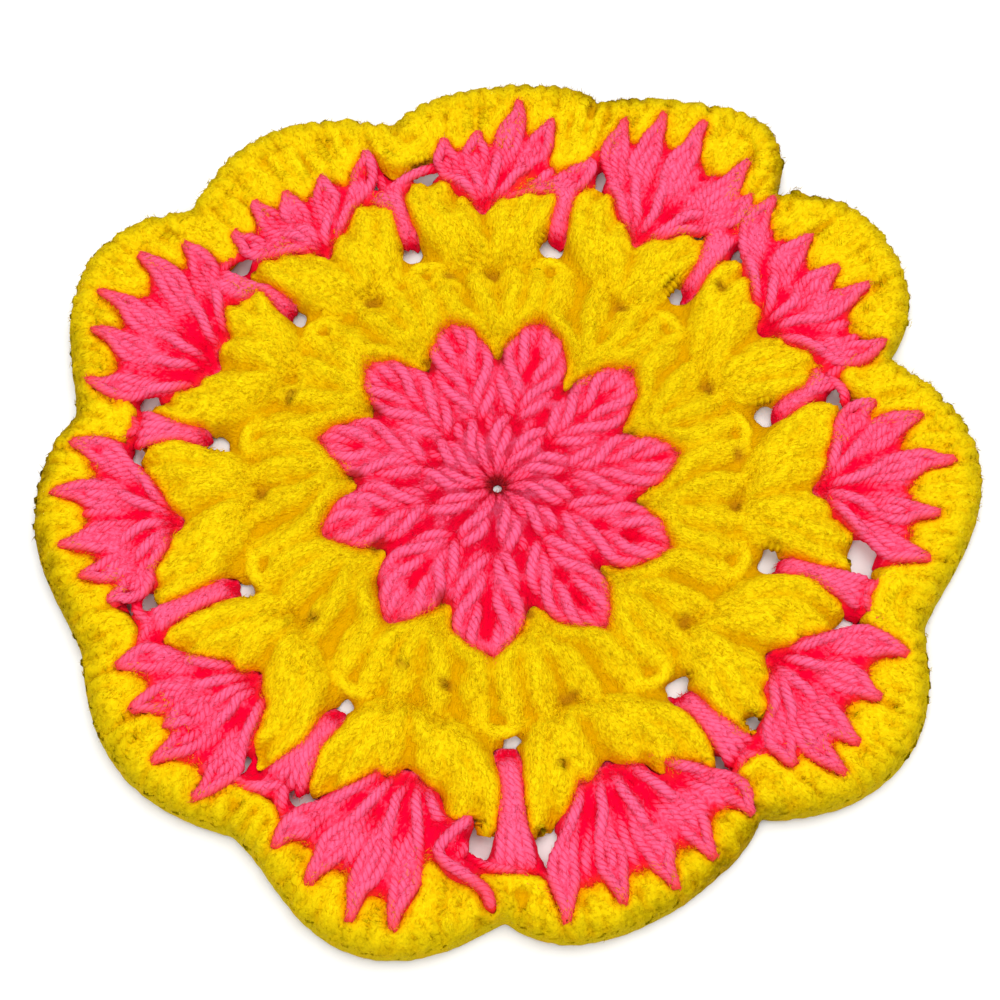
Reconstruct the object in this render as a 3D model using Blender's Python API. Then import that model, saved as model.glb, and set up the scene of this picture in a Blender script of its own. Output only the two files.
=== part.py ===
"""A round crochet pot holder: a pink star, yellow rounds, pink shells and a scalloped yellow border.

It lies flat, front up. The origin is on the surface under its middle, +Z is up, and +Y points to the
edge that is far from a viewer. Lengths are in metres unless a name says otherwise, and bearings in
degrees anticlockwise from +X about the eyelet, which sits a little off the middle. Each yarn's rounds
are one solid, because each is worked in one length.
"""

import math
from collections import namedtuple

import bmesh
import bpy
import numpy
from mathutils import Vector

MM = 0.001

# Clearance between the yarns' solids
CLEARANCE = 0.33 * MM
STEEP_CLEARANCE = 0.55 * MM

# Radii of the rounds, from the middle outwards
EYELET_RADIUS = 1.6 * MM
GAP_FLOOR_RADIUS = 53.8 * MM
POST_FOOT_RADIUS = 58.2 * MM
LOBE_RADIUS = 71.8 * MM
CHAIN_WIDTH = 2.6 * MM
POST_HEAD = 2.2 * MM
POST_TOP_RADIUS = 80.4 * MM

# Reference radii at which the bearings below are read
STAR_RING = 35.0 * MM
POST_RING = 62.0 * MM
EDGE_RING = 86.0 * MM

# Places along a round, as shares of one repeat
POST_GAP_HALF = 0.070
LEAF_STEP = 0.19
LEAVES = 5

# How far the rim rolls back in under its widest line, and how full its stitches stand between leaves
RIM_TUCK = 1.8 * MM
BORDER_CROWN = 0.9

# Where along a repeat the rim's radii are given: notch, rise, crest, fall and the next notch
SCALLOP_SHARES = (0.0, 0.2, 0.5, 0.8, 1.0)

# The loose end of pink yarn
TAIL_RADIUS = 1.0 * MM
TAIL_POINTS = 18
TAIL_SIDES_RESOLUTION = 2

SHARP_ANGLE = math.radians(60)

# One row for each of the eleven repeats, as uneven as the handwork is. A repeat runs from one post to
# the next, with its shell of five stitches between. First the bearings, at the reference radii.
Bearings = namedtuple("Bearings", "star_tip star_valley post shell notch shell_top")
BEARINGS = (
    Bearings(-21.5, -9, -17, -1.5, -20, 1.5),
    Bearings(10, 22, 15.5, 32, 19, 34),
    Bearings(42, 54, 48, 62, 48, 62),
    Bearings(77, 88, 77.5, 93, 76, 88),
    Bearings(107, 118, 108.5, 125, 105, 121),
    Bearings(137, 147, 137, 156, 136, 152),
    Bearings(166, 177, 171, 187.5, 170, 187.5),
    Bearings(199, 210, 204, 222, 204, 219),
    Bearings(236, 246, 238, 254.5, 235, 252.5),
    Bearings(268, 283, 273, 290, 271, 292),
    Bearings(305, 317, 309.5, 325.5, 306, 325),
)

# Then the radii, in millimetres. The rim has four, from a notch over the rise, crest and fall of its
# scallop, and a shell has the depth between its leaves and the reach of each leaf.
Radii = namedtuple("Radii", "star_tip star_valley chain notch rise crest fall dip leaves")
RADII = (
    Radii(37.5, 30.8, 79.0, 89.4, 93.0, 98.2, 93.7, 82, (86, 89, 92, 86, 80)),
    Radii(38.0, 30.6, 75.8, 86.3, 95.6, 100.4, 98.1, 82, (84, 90, 85, 85, 88)),
    Radii(38.0, 28.0, 75.8, 89.5, 102.3, 102.0, 97.6, 87, (80.5, 93, 97, 95, 90)),
    Radii(37.5, 30.2, 75.8, 93.6, 95.9, 95.4, 93.0, 82, (80, 86, 91, 84, 82)),
    Radii(38.4, 31.8, 75.4, 88.3, 92.6, 96.8, 94.8, 78.6, (81, 80, 81, 82, 80.5)),
    Radii(38.4, 31.6, 76.2, 91.3, 98.0, 99.9, 92.5, 83, (85, 92, 94, 90, 86)),
    Radii(37.6, 30.6, 75.8, 87.9, 91.8, 93.0, 90.0, 80, (84, 88, 88, 84, 80)),
    Radii(35.6, 29.2, 75.6, 88.7, 91.3, 93.3, 90.9, 79, (82, 83, 86, 88, 85.5)),
    Radii(35.4, 29.2, 75.8, 87.5, 90.7, 97.1, 94.0, 82, (84, 88.5, 92.5, 91, 85)),
    Radii(40.0, 30.0, 78.0, 87.9, 93.1, 91.5, 88.4, 81, (87, 88, 88, 88, 82)),
    Radii(37.8, 30.0, 75.8, 84.7, 92.3, 96.8, 93.4, 82, (80, 88, 87, 86, 86.5)),
)
COUNT = len(BEARINGS)
TURN = 360.0

# Half of the outer edge of the star, from a valley to the tip: share of a repeat from the tip, and how
# far out between valley and tip it reaches. Crown is how proud of the groove the stitch stands.
StarStation = namedtuple("StarStation", "share reach crown")
STAR_HALF = (
    StarStation(0.50, 0.00, -0.6),
    StarStation(0.37, 0.16, 0.5),
    StarStation(0.23, 0.46, 1.0),
    StarStation(0.10, 0.86, 0.8),
    StarStation(0.00, 1.00, 0.1),
)

# Half of a shell's inner side: share of a repeat from the shell's middle, and radius. It ends on the
# chain, at FLANK_END. The yellow lobes follow it a clearance away.
FlankPoint = namedtuple("FlankPoint", "share radius")
FLANK = (
    FlankPoint(0.00, 62.6 * MM),
    FlankPoint(0.05, 64.4 * MM),
    FlankPoint(0.14, 68.0 * MM),
    FlankPoint(0.24, 72.2 * MM),
    FlankPoint(0.32, 75.2 * MM),
)
FLANK_END = 0.40

# Half of a post, from its middle: share of a repeat, how far its inner end is from its foot towards
# the chain, and its outer end from the chain towards its top
PostStation = namedtuple("PostStation", "share inward outward crown")
POST_HALF = (
    PostStation(0.000, 0.00, 1.0, 0.5),
    PostStation(0.035, 0.00, 0.6, 1.0),
    PostStation(0.056, 0.05, 0.0, 0.4),
    PostStation(0.058, 1.00, 0.0, 0.2),
)

# Across one leaf of a shell and the groove after it: share of a repeat from the leaf's middle, and how
# far it reaches from the shell's dips to the leaf's point
LeafStation = namedtuple("LeafStation", "share reach crown")
LEAF = (
    LeafStation(-0.052, 0.34, 0.8),
    LeafStation(0.000, 1.00, 0.7),
    LeafStation(0.052, 0.34, 0.8),
    LeafStation(0.095, 0.00, -0.2),
)

# Half of the yellow rounds, from the gap at a post to the middle of a shell: share of a repeat from
# the post, how far the lobe has risen from the gap's floor to its end, and crown.
LobeStation = namedtuple("LobeStation", "share rise crown")
LOBE_HALF = (
    LobeStation(0.000, 0.00, -0.8),
    LobeStation(0.046, 0.02, -0.5),
    LobeStation(0.068, 0.10, 0.0),
    LobeStation(0.070, 0.84, 0.3),
    LobeStation(0.115, 0.98, 1.0),
    LobeStation(0.190, 1.00, 0.5),
    LobeStation(0.260, 1.00, 1.0),
    LobeStation(0.360, 1.00, 0.8),
    LobeStation(0.450, 1.00, 0.0),
    LobeStation(0.500, 1.00, -1.2),
)

# Across each solid from its inner edge to its outer edge: share of the way, height there in a groove,
# and how much higher a full crown stands.
Row = namedtuple("Row", "share level relief")
STAR_ROWS = (
    Row(0.00, 2.2 * MM, 0.0 * MM),
    Row(0.06, 4.2 * MM, 0.2 * MM),
    Row(0.22, 4.9 * MM, 0.5 * MM),
    Row(0.40, 4.7 * MM, 0.4 * MM),
    Row(0.50, 4.1 * MM, 0.5 * MM),
    Row(0.74, 4.8 * MM, 1.3 * MM),
    Row(0.92, 4.4 * MM, 1.0 * MM),
    Row(1.00, 2.8 * MM, 0.0 * MM),
)
YELLOW_ROWS = (
    Row(0.00, 3.0 * MM, 0.0 * MM),
    Row(0.09, 4.8 * MM, 0.7 * MM),
    Row(0.28, 5.7 * MM, 0.9 * MM),
    Row(0.43, 4.6 * MM, 1.0 * MM),
    Row(0.62, 5.7 * MM, 1.1 * MM),
    Row(0.84, 6.0 * MM, 1.2 * MM),
    Row(0.95, 5.0 * MM, 0.9 * MM),
    Row(1.00, 3.0 * MM, 0.0 * MM),
)
SHELL_ROWS = (
    Row(0.00, 2.6 * MM, 0.0 * MM),
    Row(0.12, 4.0 * MM, 0.8 * MM),
    Row(0.45, 4.7 * MM, 1.0 * MM),
    Row(0.78, 5.0 * MM, 1.3 * MM),
    Row(0.93, 4.9 * MM, 0.9 * MM),
    Row(1.00, 3.8 * MM, 0.0 * MM),
)
BORDER_ROWS = (
    Row(0.00, 3.4 * MM, 0.0 * MM),
    Row(0.12, 4.9 * MM, 1.3 * MM),
    Row(0.42, 5.9 * MM, 1.5 * MM),
    Row(0.72, 6.5 * MM, 0.8 * MM),
    Row(0.91, 5.6 * MM, 0.4 * MM),
    Row(1.00, 3.2 * MM, 0.0 * MM),
)

# The loose end's route over the last leaf of a shell and the border: bearing, radius and height
TailPoint = namedtuple("TailPoint", "bearing radius height")
TAIL_ROUTE = (
    TailPoint(266.0, 69.6 * MM, 8.3 * MM),
    TailPoint(263.5, 72.4 * MM, 7.6 * MM),
    TailPoint(261.9, 75.7 * MM, 7.6 * MM),
    TailPoint(262.8, 77.9 * MM, 7.9 * MM),
    TailPoint(264.7, 79.3 * MM, 8.1 * MM),
    TailPoint(267.0, 81.2 * MM, 8.2 * MM),
    TailPoint(268.6, 83.0 * MM, 8.5 * MM),
    TailPoint(269.3, 86.0 * MM, 9.3 * MM),
)

PINK = (0.95, 0.10, 0.24)
YELLOW = (0.93, 0.60, 0.01)
YARN_ROUGHNESS = 0.9

# A place along a solid's edges: its inner and outer points seen from above, and its crown
Column = namedtuple("Column", "inner outer crown")


def mix(low, high, share):
    """A value between two others."""
    return low + (high - low) * share


def along(table, share):
    """The second column of a table at a value of its first, both rising from row to row."""
    for near, far in zip(table, table[1:]):
        if share <= far[0]:
            return mix(near[1], far[1], (share - near[0]) / (far[0] - near[0]))
    return table[-1][1]


def radii_at(index):
    """A repeat's radii, counted round and round."""
    return RADII[index % COUNT]


def knot_bearing(half_steps, at_post, at_shell):
    """The bearing at a post, for an even number of half steps, or at a shell, for an odd one."""
    index = half_steps // 2
    name = at_shell if half_steps % 2 else at_post
    return getattr(BEARINGS[index % COUNT], name) + TURN * (index // COUNT)


def ring_bearing(place, at_post, at_shell):
    """The bearing of a place, counted in repeats from the first post, on one reference ring."""
    half_steps = math.floor(place * 2)
    return mix(
        knot_bearing(half_steps, at_post, at_shell),
        knot_bearing(half_steps + 1, at_post, at_shell),
        place * 2 - half_steps,
    )


def bearing(place, radius):
    """The bearing of a place at a radius. The rounds lean a little over each other."""
    star = ring_bearing(place, "star_tip", "star_valley")
    post = ring_bearing(place, "post", "shell")
    edge = ring_bearing(place, "notch", "shell_top")
    if radius < POST_RING:
        return mix(star, post, max(0.0, (radius - STAR_RING) / (POST_RING - STAR_RING)))
    return mix(post, edge, min(1.0, (radius - POST_RING) / (EDGE_RING - POST_RING)))


def polar(degrees, radius, height=0.0):
    """The point at a bearing, radius and height."""
    angle = math.radians(degrees)
    return Vector((radius * math.cos(angle), radius * math.sin(angle), height))


def spot(place, radius):
    """The point of the cloth at a place and radius, seen from above."""
    return polar(bearing(place, radius), radius)


def post_spot(place, radius):
    """As spot, but along a post's straight line, which the gap round it keeps to as well."""
    foot = spot(place, POST_FOOT_RADIUS)
    top = spot(place, POST_TOP_RADIUS)
    return foot.lerp(top, (radius - POST_FOOT_RADIUS) / (POST_TOP_RADIUS - POST_FOOT_RADIUS))


def star_radius(place):
    """The radius of the star's edge, which reaches out at the posts' places."""
    index = math.floor(place + 0.5)
    from_tip = place - index
    beside = radii_at(index if from_tip >= 0 else index - 1)
    rising = tuple((station.share, station.reach) for station in reversed(STAR_HALF))
    return mix(beside.star_valley, radii_at(index).star_tip, along(rising, abs(from_tip))) * MM


def chain_radius(place):
    """The inner radius of the chain beside the nearest post."""
    return radii_at(math.floor(place + 0.5)).chain * MM


def flank_radius(place):
    """The radius of the shells' inner side, down to the chain, from its place within the repeat."""
    side = FLANK + (FlankPoint(FLANK_END, chain_radius(place)),)
    return along(side, abs(place - math.floor(place) - 0.5))


def scallop_radius(place):
    """The radius of the rim: one smooth bulge over each shell, with a notch at each post."""
    index = math.floor(place)
    row = radii_at(index)
    bulge = (row.notch, row.rise, row.crest, row.fall, radii_at(index + 1).notch)
    curve = numpy.polyfit(SCALLOP_SHARES, bulge, len(SCALLOP_SHARES) - 1)
    return numpy.polyval(curve, place - index) * MM


def offset_loop(points, distance):
    """A closed outline moved outwards by a distance, square to itself."""
    moved = []
    for before, here, after in zip(points[-1:] + points[:-1], points, points[1:] + points[:1]):
        incoming = (here - before).normalized()
        outgoing = (after - here).normalized()
        normal = Vector((incoming.y + outgoing.y, -incoming.x - outgoing.x, 0.0)).normalized()
        square = max(0.4, normal.dot(Vector((incoming.y, -incoming.x, 0.0))))
        moved.append(here + normal * (distance / square))
    return moved


def mirrored(half):
    """Stations either side of a post as (signed share, station), with the shell's middle only once."""
    other = [(-station.share, station) for station in half if 0.0 < station.share < 0.5]
    own = [(station.share, station) for station in half]
    return sorted(other + own, key=lambda pair: pair[0])


def star_columns():
    """Round the star, whose stitches pair up into a point in each repeat."""
    columns = []
    for index in range(COUNT):
        for share, station in mirrored(STAR_HALF):
            place = index + share
            outer = spot(place, star_radius(place))
            inner = outer.normalized() * EYELET_RADIUS
            columns.append(Column(inner, outer, station.crown))
    return columns


def lobe_radius(place, rise):
    """The radius of the yellow rounds' outer edge: lobes, gaps at the posts, and shells' feet."""
    lobe_end = min(LOBE_RADIUS, flank_radius(place) - STEEP_CLEARANCE)
    return mix(GAP_FLOOR_RADIUS, lobe_end, rise)


def yellow_columns():
    """Round the yellow body, whose stitches fan from the star's valleys into two lobes a repeat."""
    columns = []
    for index in range(COUNT):
        for share, station in mirrored(LOBE_HALF):
            place = index + share
            inner = spot(place, star_radius(place) + STEEP_CLEARANCE)
            at_post = abs(share) <= POST_GAP_HALF
            outer = (post_spot if at_post else spot)(place, lobe_radius(place, station.rise))
            columns.append(Column(inner, outer, station.crown))
    return columns


def leaf_stations():
    """The shell's stitches in order as (share, leaf number, station), with no groove after the last."""
    stations = []
    for leaf in range(LEAVES):
        middle = 0.5 + (leaf - (LEAVES - 1) / 2) * LEAF_STEP
        stations += [(middle + station.share, leaf, station) for station in LEAF]
    return stations[:-1]


def shell_columns():
    """Round the shells, posts and the chain that links them, which the border is worked into."""
    columns = []
    for index in range(COUNT):
        row = radii_at(index)
        for share, station in mirrored(POST_HALF):
            place = index + share
            chain = chain_radius(place)
            inner = mix(POST_FOOT_RADIUS, chain, station.inward)
            outer = chain + CHAIN_WIDTH + POST_HEAD * station.outward
            columns.append(Column(post_spot(place, inner), post_spot(place, outer), station.crown))
        for share, leaf, station in leaf_stations():
            place = index + share
            outer = mix(row.dip, row.leaves[leaf], station.reach) * MM
            inner = flank_radius(place)
            columns.append(Column(spot(place, inner), spot(place, outer), station.crown))
    return columns


def border_columns(shells):
    """Round the border, which fills between the leaves' points and ends in the scalloped rim."""
    places = []
    for index in range(COUNT):
        places += [index + share for share, _ in mirrored(POST_HALF)]
        places += [index + share for share, _, _ in leaf_stations()]
    inner_loop = offset_loop([column.outer for column in shells], CLEARANCE)
    columns = []
    for place, inner, shell in zip(places, inner_loop, shells):
        outer = spot(place, scallop_radius(place))
        columns.append(Column(inner, outer, max(0.0, BORDER_CROWN - shell.crown)))
    return columns


def ring_solid(name, columns, rows, material, tuck=0.0):
    """A closed ring: a grid rolled round the columns for its top, with walls and a flat underside."""
    rolled = bmesh.new()
    bmesh.ops.create_grid(rolled, x_segments=len(columns), y_segments=len(rows) - 1, size=0.5)
    for vertex in rolled.verts:
        column = columns[round((vertex.co.x + 0.5) * len(columns)) % len(columns)]
        row = rows[round((vertex.co.y + 0.5) * (len(rows) - 1))]
        vertex.co = column.inner.lerp(column.outer, row.share)
        vertex.co.z = row.level + row.relief * column.crown
    bmesh.ops.remove_doubles(rolled, verts=rolled.verts, dist=0.01 * MM)
    rims = [edge for edge in rolled.edges if edge.is_boundary]
    outer_rim = {column.outer.to_2d().freeze() for column in columns}
    walls = bmesh.ops.extrude_edge_only(rolled, edges=rims)["geom"]
    feet = [part for part in walls if isinstance(part, bmesh.types.BMVert)]
    for foot in feet:
        if foot.co.to_2d().freeze() in outer_rim:
            foot.co -= foot.co.normalized() * tuck
        foot.co.z = 0.0
    floor_edges = [part for part in walls if isinstance(part, bmesh.types.BMEdge)]
    bmesh.ops.bridge_loops(rolled, edges=floor_edges)
    bmesh.ops.recalc_face_normals(rolled, faces=rolled.faces)
    mesh = bpy.data.meshes.new(name)
    rolled.to_mesh(mesh)
    rolled.free()
    mesh.shade_smooth()
    mesh.set_sharp_from_angle(angle=SHARP_ANGLE)
    mesh.materials.append(material)
    return bpy.data.objects.new(name, mesh)


def smooth_route(points, count):
    """Evenly shared points on a Catmull-Rom curve through the route's own points."""
    padded = [2 * points[0] - points[1]] + points + [2 * points[-1] - points[-2]]
    route = []
    for step in range(count):
        travelled = step / (count - 1) * (len(points) - 1)
        span = min(int(travelled), len(points) - 2)
        t = travelled - span
        p0, p1, p2, p3 = padded[span : span + 4]
        route.append(
            0.5
            * (
                2 * p1
                + (p2 - p0) * t
                + (2 * p0 - 5 * p1 + 4 * p2 - p3) * t**2
                + (3 * p1 - p0 - 3 * p2 + p3) * t**3
            )
        )
    return route


def yarn_tail(name, material):
    """The loose end of pink yarn that lies over the border, as a round tube."""
    points = [polar(stop.bearing, stop.radius, stop.height) for stop in TAIL_ROUTE]
    curve = bpy.data.curves.new(name, "CURVE")
    curve.dimensions = "3D"
    curve.bevel_depth = TAIL_RADIUS
    curve.bevel_resolution = TAIL_SIDES_RESOLUTION
    curve.use_fill_caps = True
    spline = curve.splines.new("POLY")
    spline.points.add(TAIL_POINTS - 1)
    for knot, point in zip(spline.points, smooth_route(points, TAIL_POINTS)):
        knot.co = (*point, 1.0)
    curve.materials.append(material)
    return bpy.data.objects.new(name, curve)


def yarn_material(name, colour):
    """A matt, dyed yarn."""
    material = bpy.data.materials.new(name)
    material.use_nodes = True
    shader = material.node_tree.nodes["Principled BSDF"]
    shader.inputs["Base Color"].default_value = (*colour, 1.0)
    shader.inputs["Roughness"].default_value = YARN_ROUGHNESS
    shader.inputs["Metallic"].default_value = 0.0
    return material


def clear_scene():
    """Removes whatever the open file holds."""
    for item in list(bpy.data.objects):
        bpy.data.objects.remove(item)


def middle_of(columns):
    """The middle of an outline's extents, where the part has its origin."""
    across = [column.outer.x for column in columns]
    along_view = [column.outer.y for column in columns]
    return Vector((max(across) + min(across), max(along_view) + min(along_view), 0.0)) / 2


def build():
    """Makes the five yarns' solids in one collection."""
    clear_scene()
    pink = yarn_material("pink_yarn", PINK)
    yellow = yarn_material("yellow_yarn", YELLOW)
    shells = shell_columns()
    border = border_columns(shells)
    solids = (
        ring_solid("centre_star", star_columns(), STAR_ROWS, pink),
        ring_solid("yellow_rounds", yellow_columns(), YELLOW_ROWS, yellow),
        ring_solid("shell_round", shells, SHELL_ROWS, pink),
        ring_solid("border_round", border, BORDER_ROWS, yellow, RIM_TUCK),
        yarn_tail("yarn_tail", pink),
    )
    collection = bpy.data.collections.new("crochet_pot_holder")
    bpy.context.scene.collection.children.link(collection)
    for solid in solids:
        solid.location = -middle_of(border)
        collection.objects.link(solid)


build()
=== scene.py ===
"""A round crocheted pot holder, worked stitch by stitch in plied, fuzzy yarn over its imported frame.

Each round of stitches is a mesh of yarn strands. A strand is a tube of four plies laid round each other,
and a stitch is a few strands on a route from its foot, in the round before, to its head. Lengths in the
tables are in millimetres, and places are counted in repeats from the first pink post.
"""

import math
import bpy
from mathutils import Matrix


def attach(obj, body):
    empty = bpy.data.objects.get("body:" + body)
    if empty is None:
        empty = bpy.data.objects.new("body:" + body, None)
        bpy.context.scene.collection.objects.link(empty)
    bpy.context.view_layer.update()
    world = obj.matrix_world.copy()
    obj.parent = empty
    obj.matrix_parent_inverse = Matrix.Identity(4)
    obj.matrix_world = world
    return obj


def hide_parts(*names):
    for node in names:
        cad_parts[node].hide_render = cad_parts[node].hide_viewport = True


bl_info = {
    "name": "Crochet Pot Holder",
    "version": (1, 0, 0),
    "blender": (4, 5, 0),
    "location": "View3D > Sidebar > Crochet",
    "description": "Works a round pot holder in two fuzzy yarns, stitch by stitch",
    "category": "Add Mesh",
}

from collections import namedtuple
from functools import lru_cache

import bpy
import numpy as np
from bpy.props import FloatProperty, FloatVectorProperty, IntProperty, PointerProperty
from mathutils import Vector

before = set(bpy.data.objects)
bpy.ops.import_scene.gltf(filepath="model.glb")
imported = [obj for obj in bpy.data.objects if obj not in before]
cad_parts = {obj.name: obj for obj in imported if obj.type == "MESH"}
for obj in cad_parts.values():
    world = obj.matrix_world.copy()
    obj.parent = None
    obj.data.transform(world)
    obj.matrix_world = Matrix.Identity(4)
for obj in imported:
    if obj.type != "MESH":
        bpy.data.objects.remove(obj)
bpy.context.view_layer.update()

MM = 0.001
BODY = "root"
TURN = 360.0
UP = np.array([0.0, 0.0, 1.0])

# Where the eyelet sits from the origin, which is under the middle of the scalloped outline
EYELET = np.array([-2.552, -0.365])

# Reference radii at which the bearings below are read
STAR_RING = 35.0
POST_RING = 62.0
EDGE_RING = 86.0


def rows_of(kind, *rows):
    """A table's rows with their columns named."""
    return [kind(*row) for row in rows]


def route_table(*rows):
    """A route's table of numbers, with a row for each stop along it."""
    return np.array(rows)


# One row for each of the eleven repeats, as uneven as the handwork is. A repeat runs from one post to
# the next, with its shell of five stitches between. First the bearings, at the reference radii.
Bearings = namedtuple("Bearings", "star_tip star_valley post shell notch shell_top")
BEARINGS = rows_of(
    Bearings,
    (-21.5, -9, -17, -1.5, -20, 1.5),
    (10, 22, 15.5, 32, 19, 34),
    (42, 54, 48, 62, 48, 62),
    (77, 88, 77.5, 93, 76, 88),
    (107, 118, 108.5, 125, 105, 121),
    (137, 147, 137, 156, 136, 152),
    (166, 177, 171, 187.5, 170, 187.5),
    (199, 210, 204, 222, 204, 219),
    (236, 246, 238, 254.5, 235, 252.5),
    (268, 283, 273, 290, 271, 292),
    (305, 317, 309.5, 325.5, 306, 325),
)
COUNT = len(BEARINGS)

# Then the radii. The rim has four, from a notch over the rise, crest and fall of its scallop, and a
# shell has the depth between its leaves.
Radii = namedtuple("Radii", "star_tip star_valley chain notch rise crest fall dip")
RADII = rows_of(
    Radii,
    (37.5, 30.8, 79.0, 89.4, 93.0, 98.2, 93.7, 82),
    (38.0, 30.6, 75.8, 86.3, 95.6, 100.4, 98.1, 82),
    (38.0, 28.0, 75.8, 89.5, 102.3, 102.0, 97.6, 85),
    (37.5, 30.2, 75.8, 93.6, 95.9, 95.4, 93.0, 81.5),
    (38.4, 31.8, 75.4, 88.3, 92.6, 96.8, 94.8, 78.6),
    (38.4, 31.6, 76.2, 91.3, 98.0, 99.9, 92.5, 83),
    (37.6, 30.6, 75.8, 87.9, 91.8, 93.0, 90.0, 80),
    (35.6, 29.2, 75.6, 88.7, 91.3, 93.3, 90.9, 79),
    (35.4, 29.2, 75.8, 87.5, 90.7, 97.1, 94.0, 82),
    (40.0, 30.0, 78.0, 87.9, 93.1, 91.5, 88.4, 81),
    (37.8, 30.0, 75.8, 84.7, 92.3, 96.8, 93.4, 82),
)
SCALLOP_SHARES = (0.0, 0.2, 0.5, 0.8, 1.0)

# Each shell: the radius and half width, as a share of a repeat, of its inner end, then the tips of its
# five leaves, as bearings and radii at the height of the eyelet's upper side
Shell = namedtuple("Shell", "base half tips")
SHELLS = rows_of(
    Shell,
    (65.0, 0.04, ((-11.0, 86.5), (-4.4, 88.0), (3.0, 92.0), (9.7, 87.0), (13.8, 78.5))),
    (66.3, 0.05, ((21.7, 85.5), (30.0, 89.5), (34.4, 86.5), (40.3, 86.8), (48.0, 88.5))),
    (62.8, 0.05, ((50.8, 85.0), (54.2, 92.2), (62.0, 96.0), (67.3, 94.0), (71.9, 89.5))),
    (64.5, 0.04, ((74.4, 77.5), (82.0, 85.8), (87.0, 90.0), (91.8, 82.0), (97.0, 81.0))),
    (64.2, 0.05, ((109.5, 82.0), (117.0, 80.0), (123.0, 80.5), (128.0, 82.5), (133.6, 79.5))),
    (65.0, 0.18, ((140.3, 85.2), (145.4, 91.2), (152.5, 93.2), (157.8, 90.0), (164.8, 86.5))),
    (64.5, 0.05, ((174.5, 86.0), (181.7, 88.6), (189.0, 87.2), (194.0, 83.7), (198.3, 79.5))),
    (61.8, 0.10, ((207.8, 82.4), (214.2, 84.2), (218.0, 80.5), (221.6, 86.6), (228.6, 86.0))),
    (62.5, 0.14, ((240.8, 84.5), (246.8, 87.8), (252.8, 91.6), (258.0, 91.0), (263.0, 79.0))),
    (62.5, 0.18, ((278.3, 88.5), (285.4, 87.2), (292.0, 89.4), (297.8, 90.2), (304.7, 82.5))),
    (65.5, 0.05, ((313.5, 80.5), (317.5, 88.5), (321.7, 87.0), (328.4, 85.8), (335.2, 86.8))),
)

# Each post: its foot's radius, its top's bearing and radius, and half the width of its top
Post = namedtuple("Post", "foot bearing top flare")
POSTS = rows_of(
    Post,
    (58.4, -18.5, 75.6, 2.3),
    (59.1, 19.0, 71.4, 1.7),
    (59.2, 49.8, 75.5, 2.2),
    (57.8, 77.8, 72.0, 1.9),
    (58.3, 109.6, 71.4, 2.2),
    (58.4, 142.3, 74.6, 2.0),
    (60.4, 171.0, 73.4, 2.9),
    (57.0, 204.3, 73.5, 1.5),
    (58.0, 237.2, 73.8, 2.8),
    (56.4, 272.6, 78.4, 2.7),
    (57.2, 309.5, 72.8, 2.6),
)

# The open gaps round each post, the first at its foot: bearing, radius, width and depth
GAPS = (
    ((-17.5, 56.6, 5.2, 4.2), (-24.5, 75.0, 4.4, 4.2), (-13.0, 74.2, 9.4, 5.4)),
    ((15.3, 56.6, 4.4, 3.6), (14.2, 72.4, 7.6, 3.8)),
    ((49.3, 56.6, 4.6, 3.6), (45.1, 73.4, 4.4, 4.0), (53.6, 71.0, 4.4, 2.6)),
    ((78.2, 55.0, 5.0, 3.4), (72.4, 74.4, 2.4, 6.0)),
    ((108.9, 55.6, 4.4, 3.4), (101.8, 73.8, 7.0, 4.6), (110.4, 74.0, 2.6, 4.6)),
    ((137.9, 55.6, 3.2, 3.2), (137.4, 73.2, 7.0, 3.0)),
    ((171.8, 57.0, 4.6, 4.6), (166.1, 73.2, 4.6, 4.2), (174.9, 73.0, 4.8, 2.6)),
    ((205.3, 54.4, 4.4, 2.8), (200.5, 74.2, 4.4, 6.0)),
    ((238.2, 54.8, 3.2, 2.8), (230.2, 76.2, 3.6, 4.6), (240.4, 74.9, 6.0, 3.2)),
    ((273.0, 53.6, 3.6, 2.6), (267.5, 73.6, 4.2, 7.6), (277.4, 75.2, 4.2, 8.0)),
    ((309.2, 55.2, 5.0, 3.6), (304.8, 72.6, 6.4, 4.4), (314.0, 69.9, 4.2, 2.4)),
)
GAP_HEIGHT = 2.4

# The small holes between the yellow stitches: bearing, radius and width
DIMPLES = (
    (7.0, 49.0, 2.4), (26.0, 48.0, 3.2), (43.0, 64.0, 2.6), (57.0, 47.0, 3.0),
    (91.0, 47.0, 2.6), (102.0, 48.0, 2.2), (123.0, 48.0, 3.4), (156.0, 46.0, 3.0),
    (183.0, 47.0, 3.0), (219.0, 46.0, 2.6), (245.0, 43.0, 2.2), (257.0, 44.0, 2.6),
    (282.0, 60.0, 2.0), (287.0, 47.0, 3.8), (321.0, 47.0, 2.8), (354.0, 48.0, 3.0),
)
DIMPLE_DEPTH = 1.6

# The inner side of a shell: share of a repeat from its middle, and radius. A wide shell's foot is wider
# than a narrow one's by the rest of its half width.
FLANK_SHARES = (0.00, 0.06, 0.13, 0.20, 0.26, 0.33)
FLANK_RADII = (64.0, 64.8, 67.4, 70.6, 73.0, 75.6)
FLANK_END = 0.40
NARROW_HALF = 0.05
FOOT_REACH = 0.25

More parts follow.
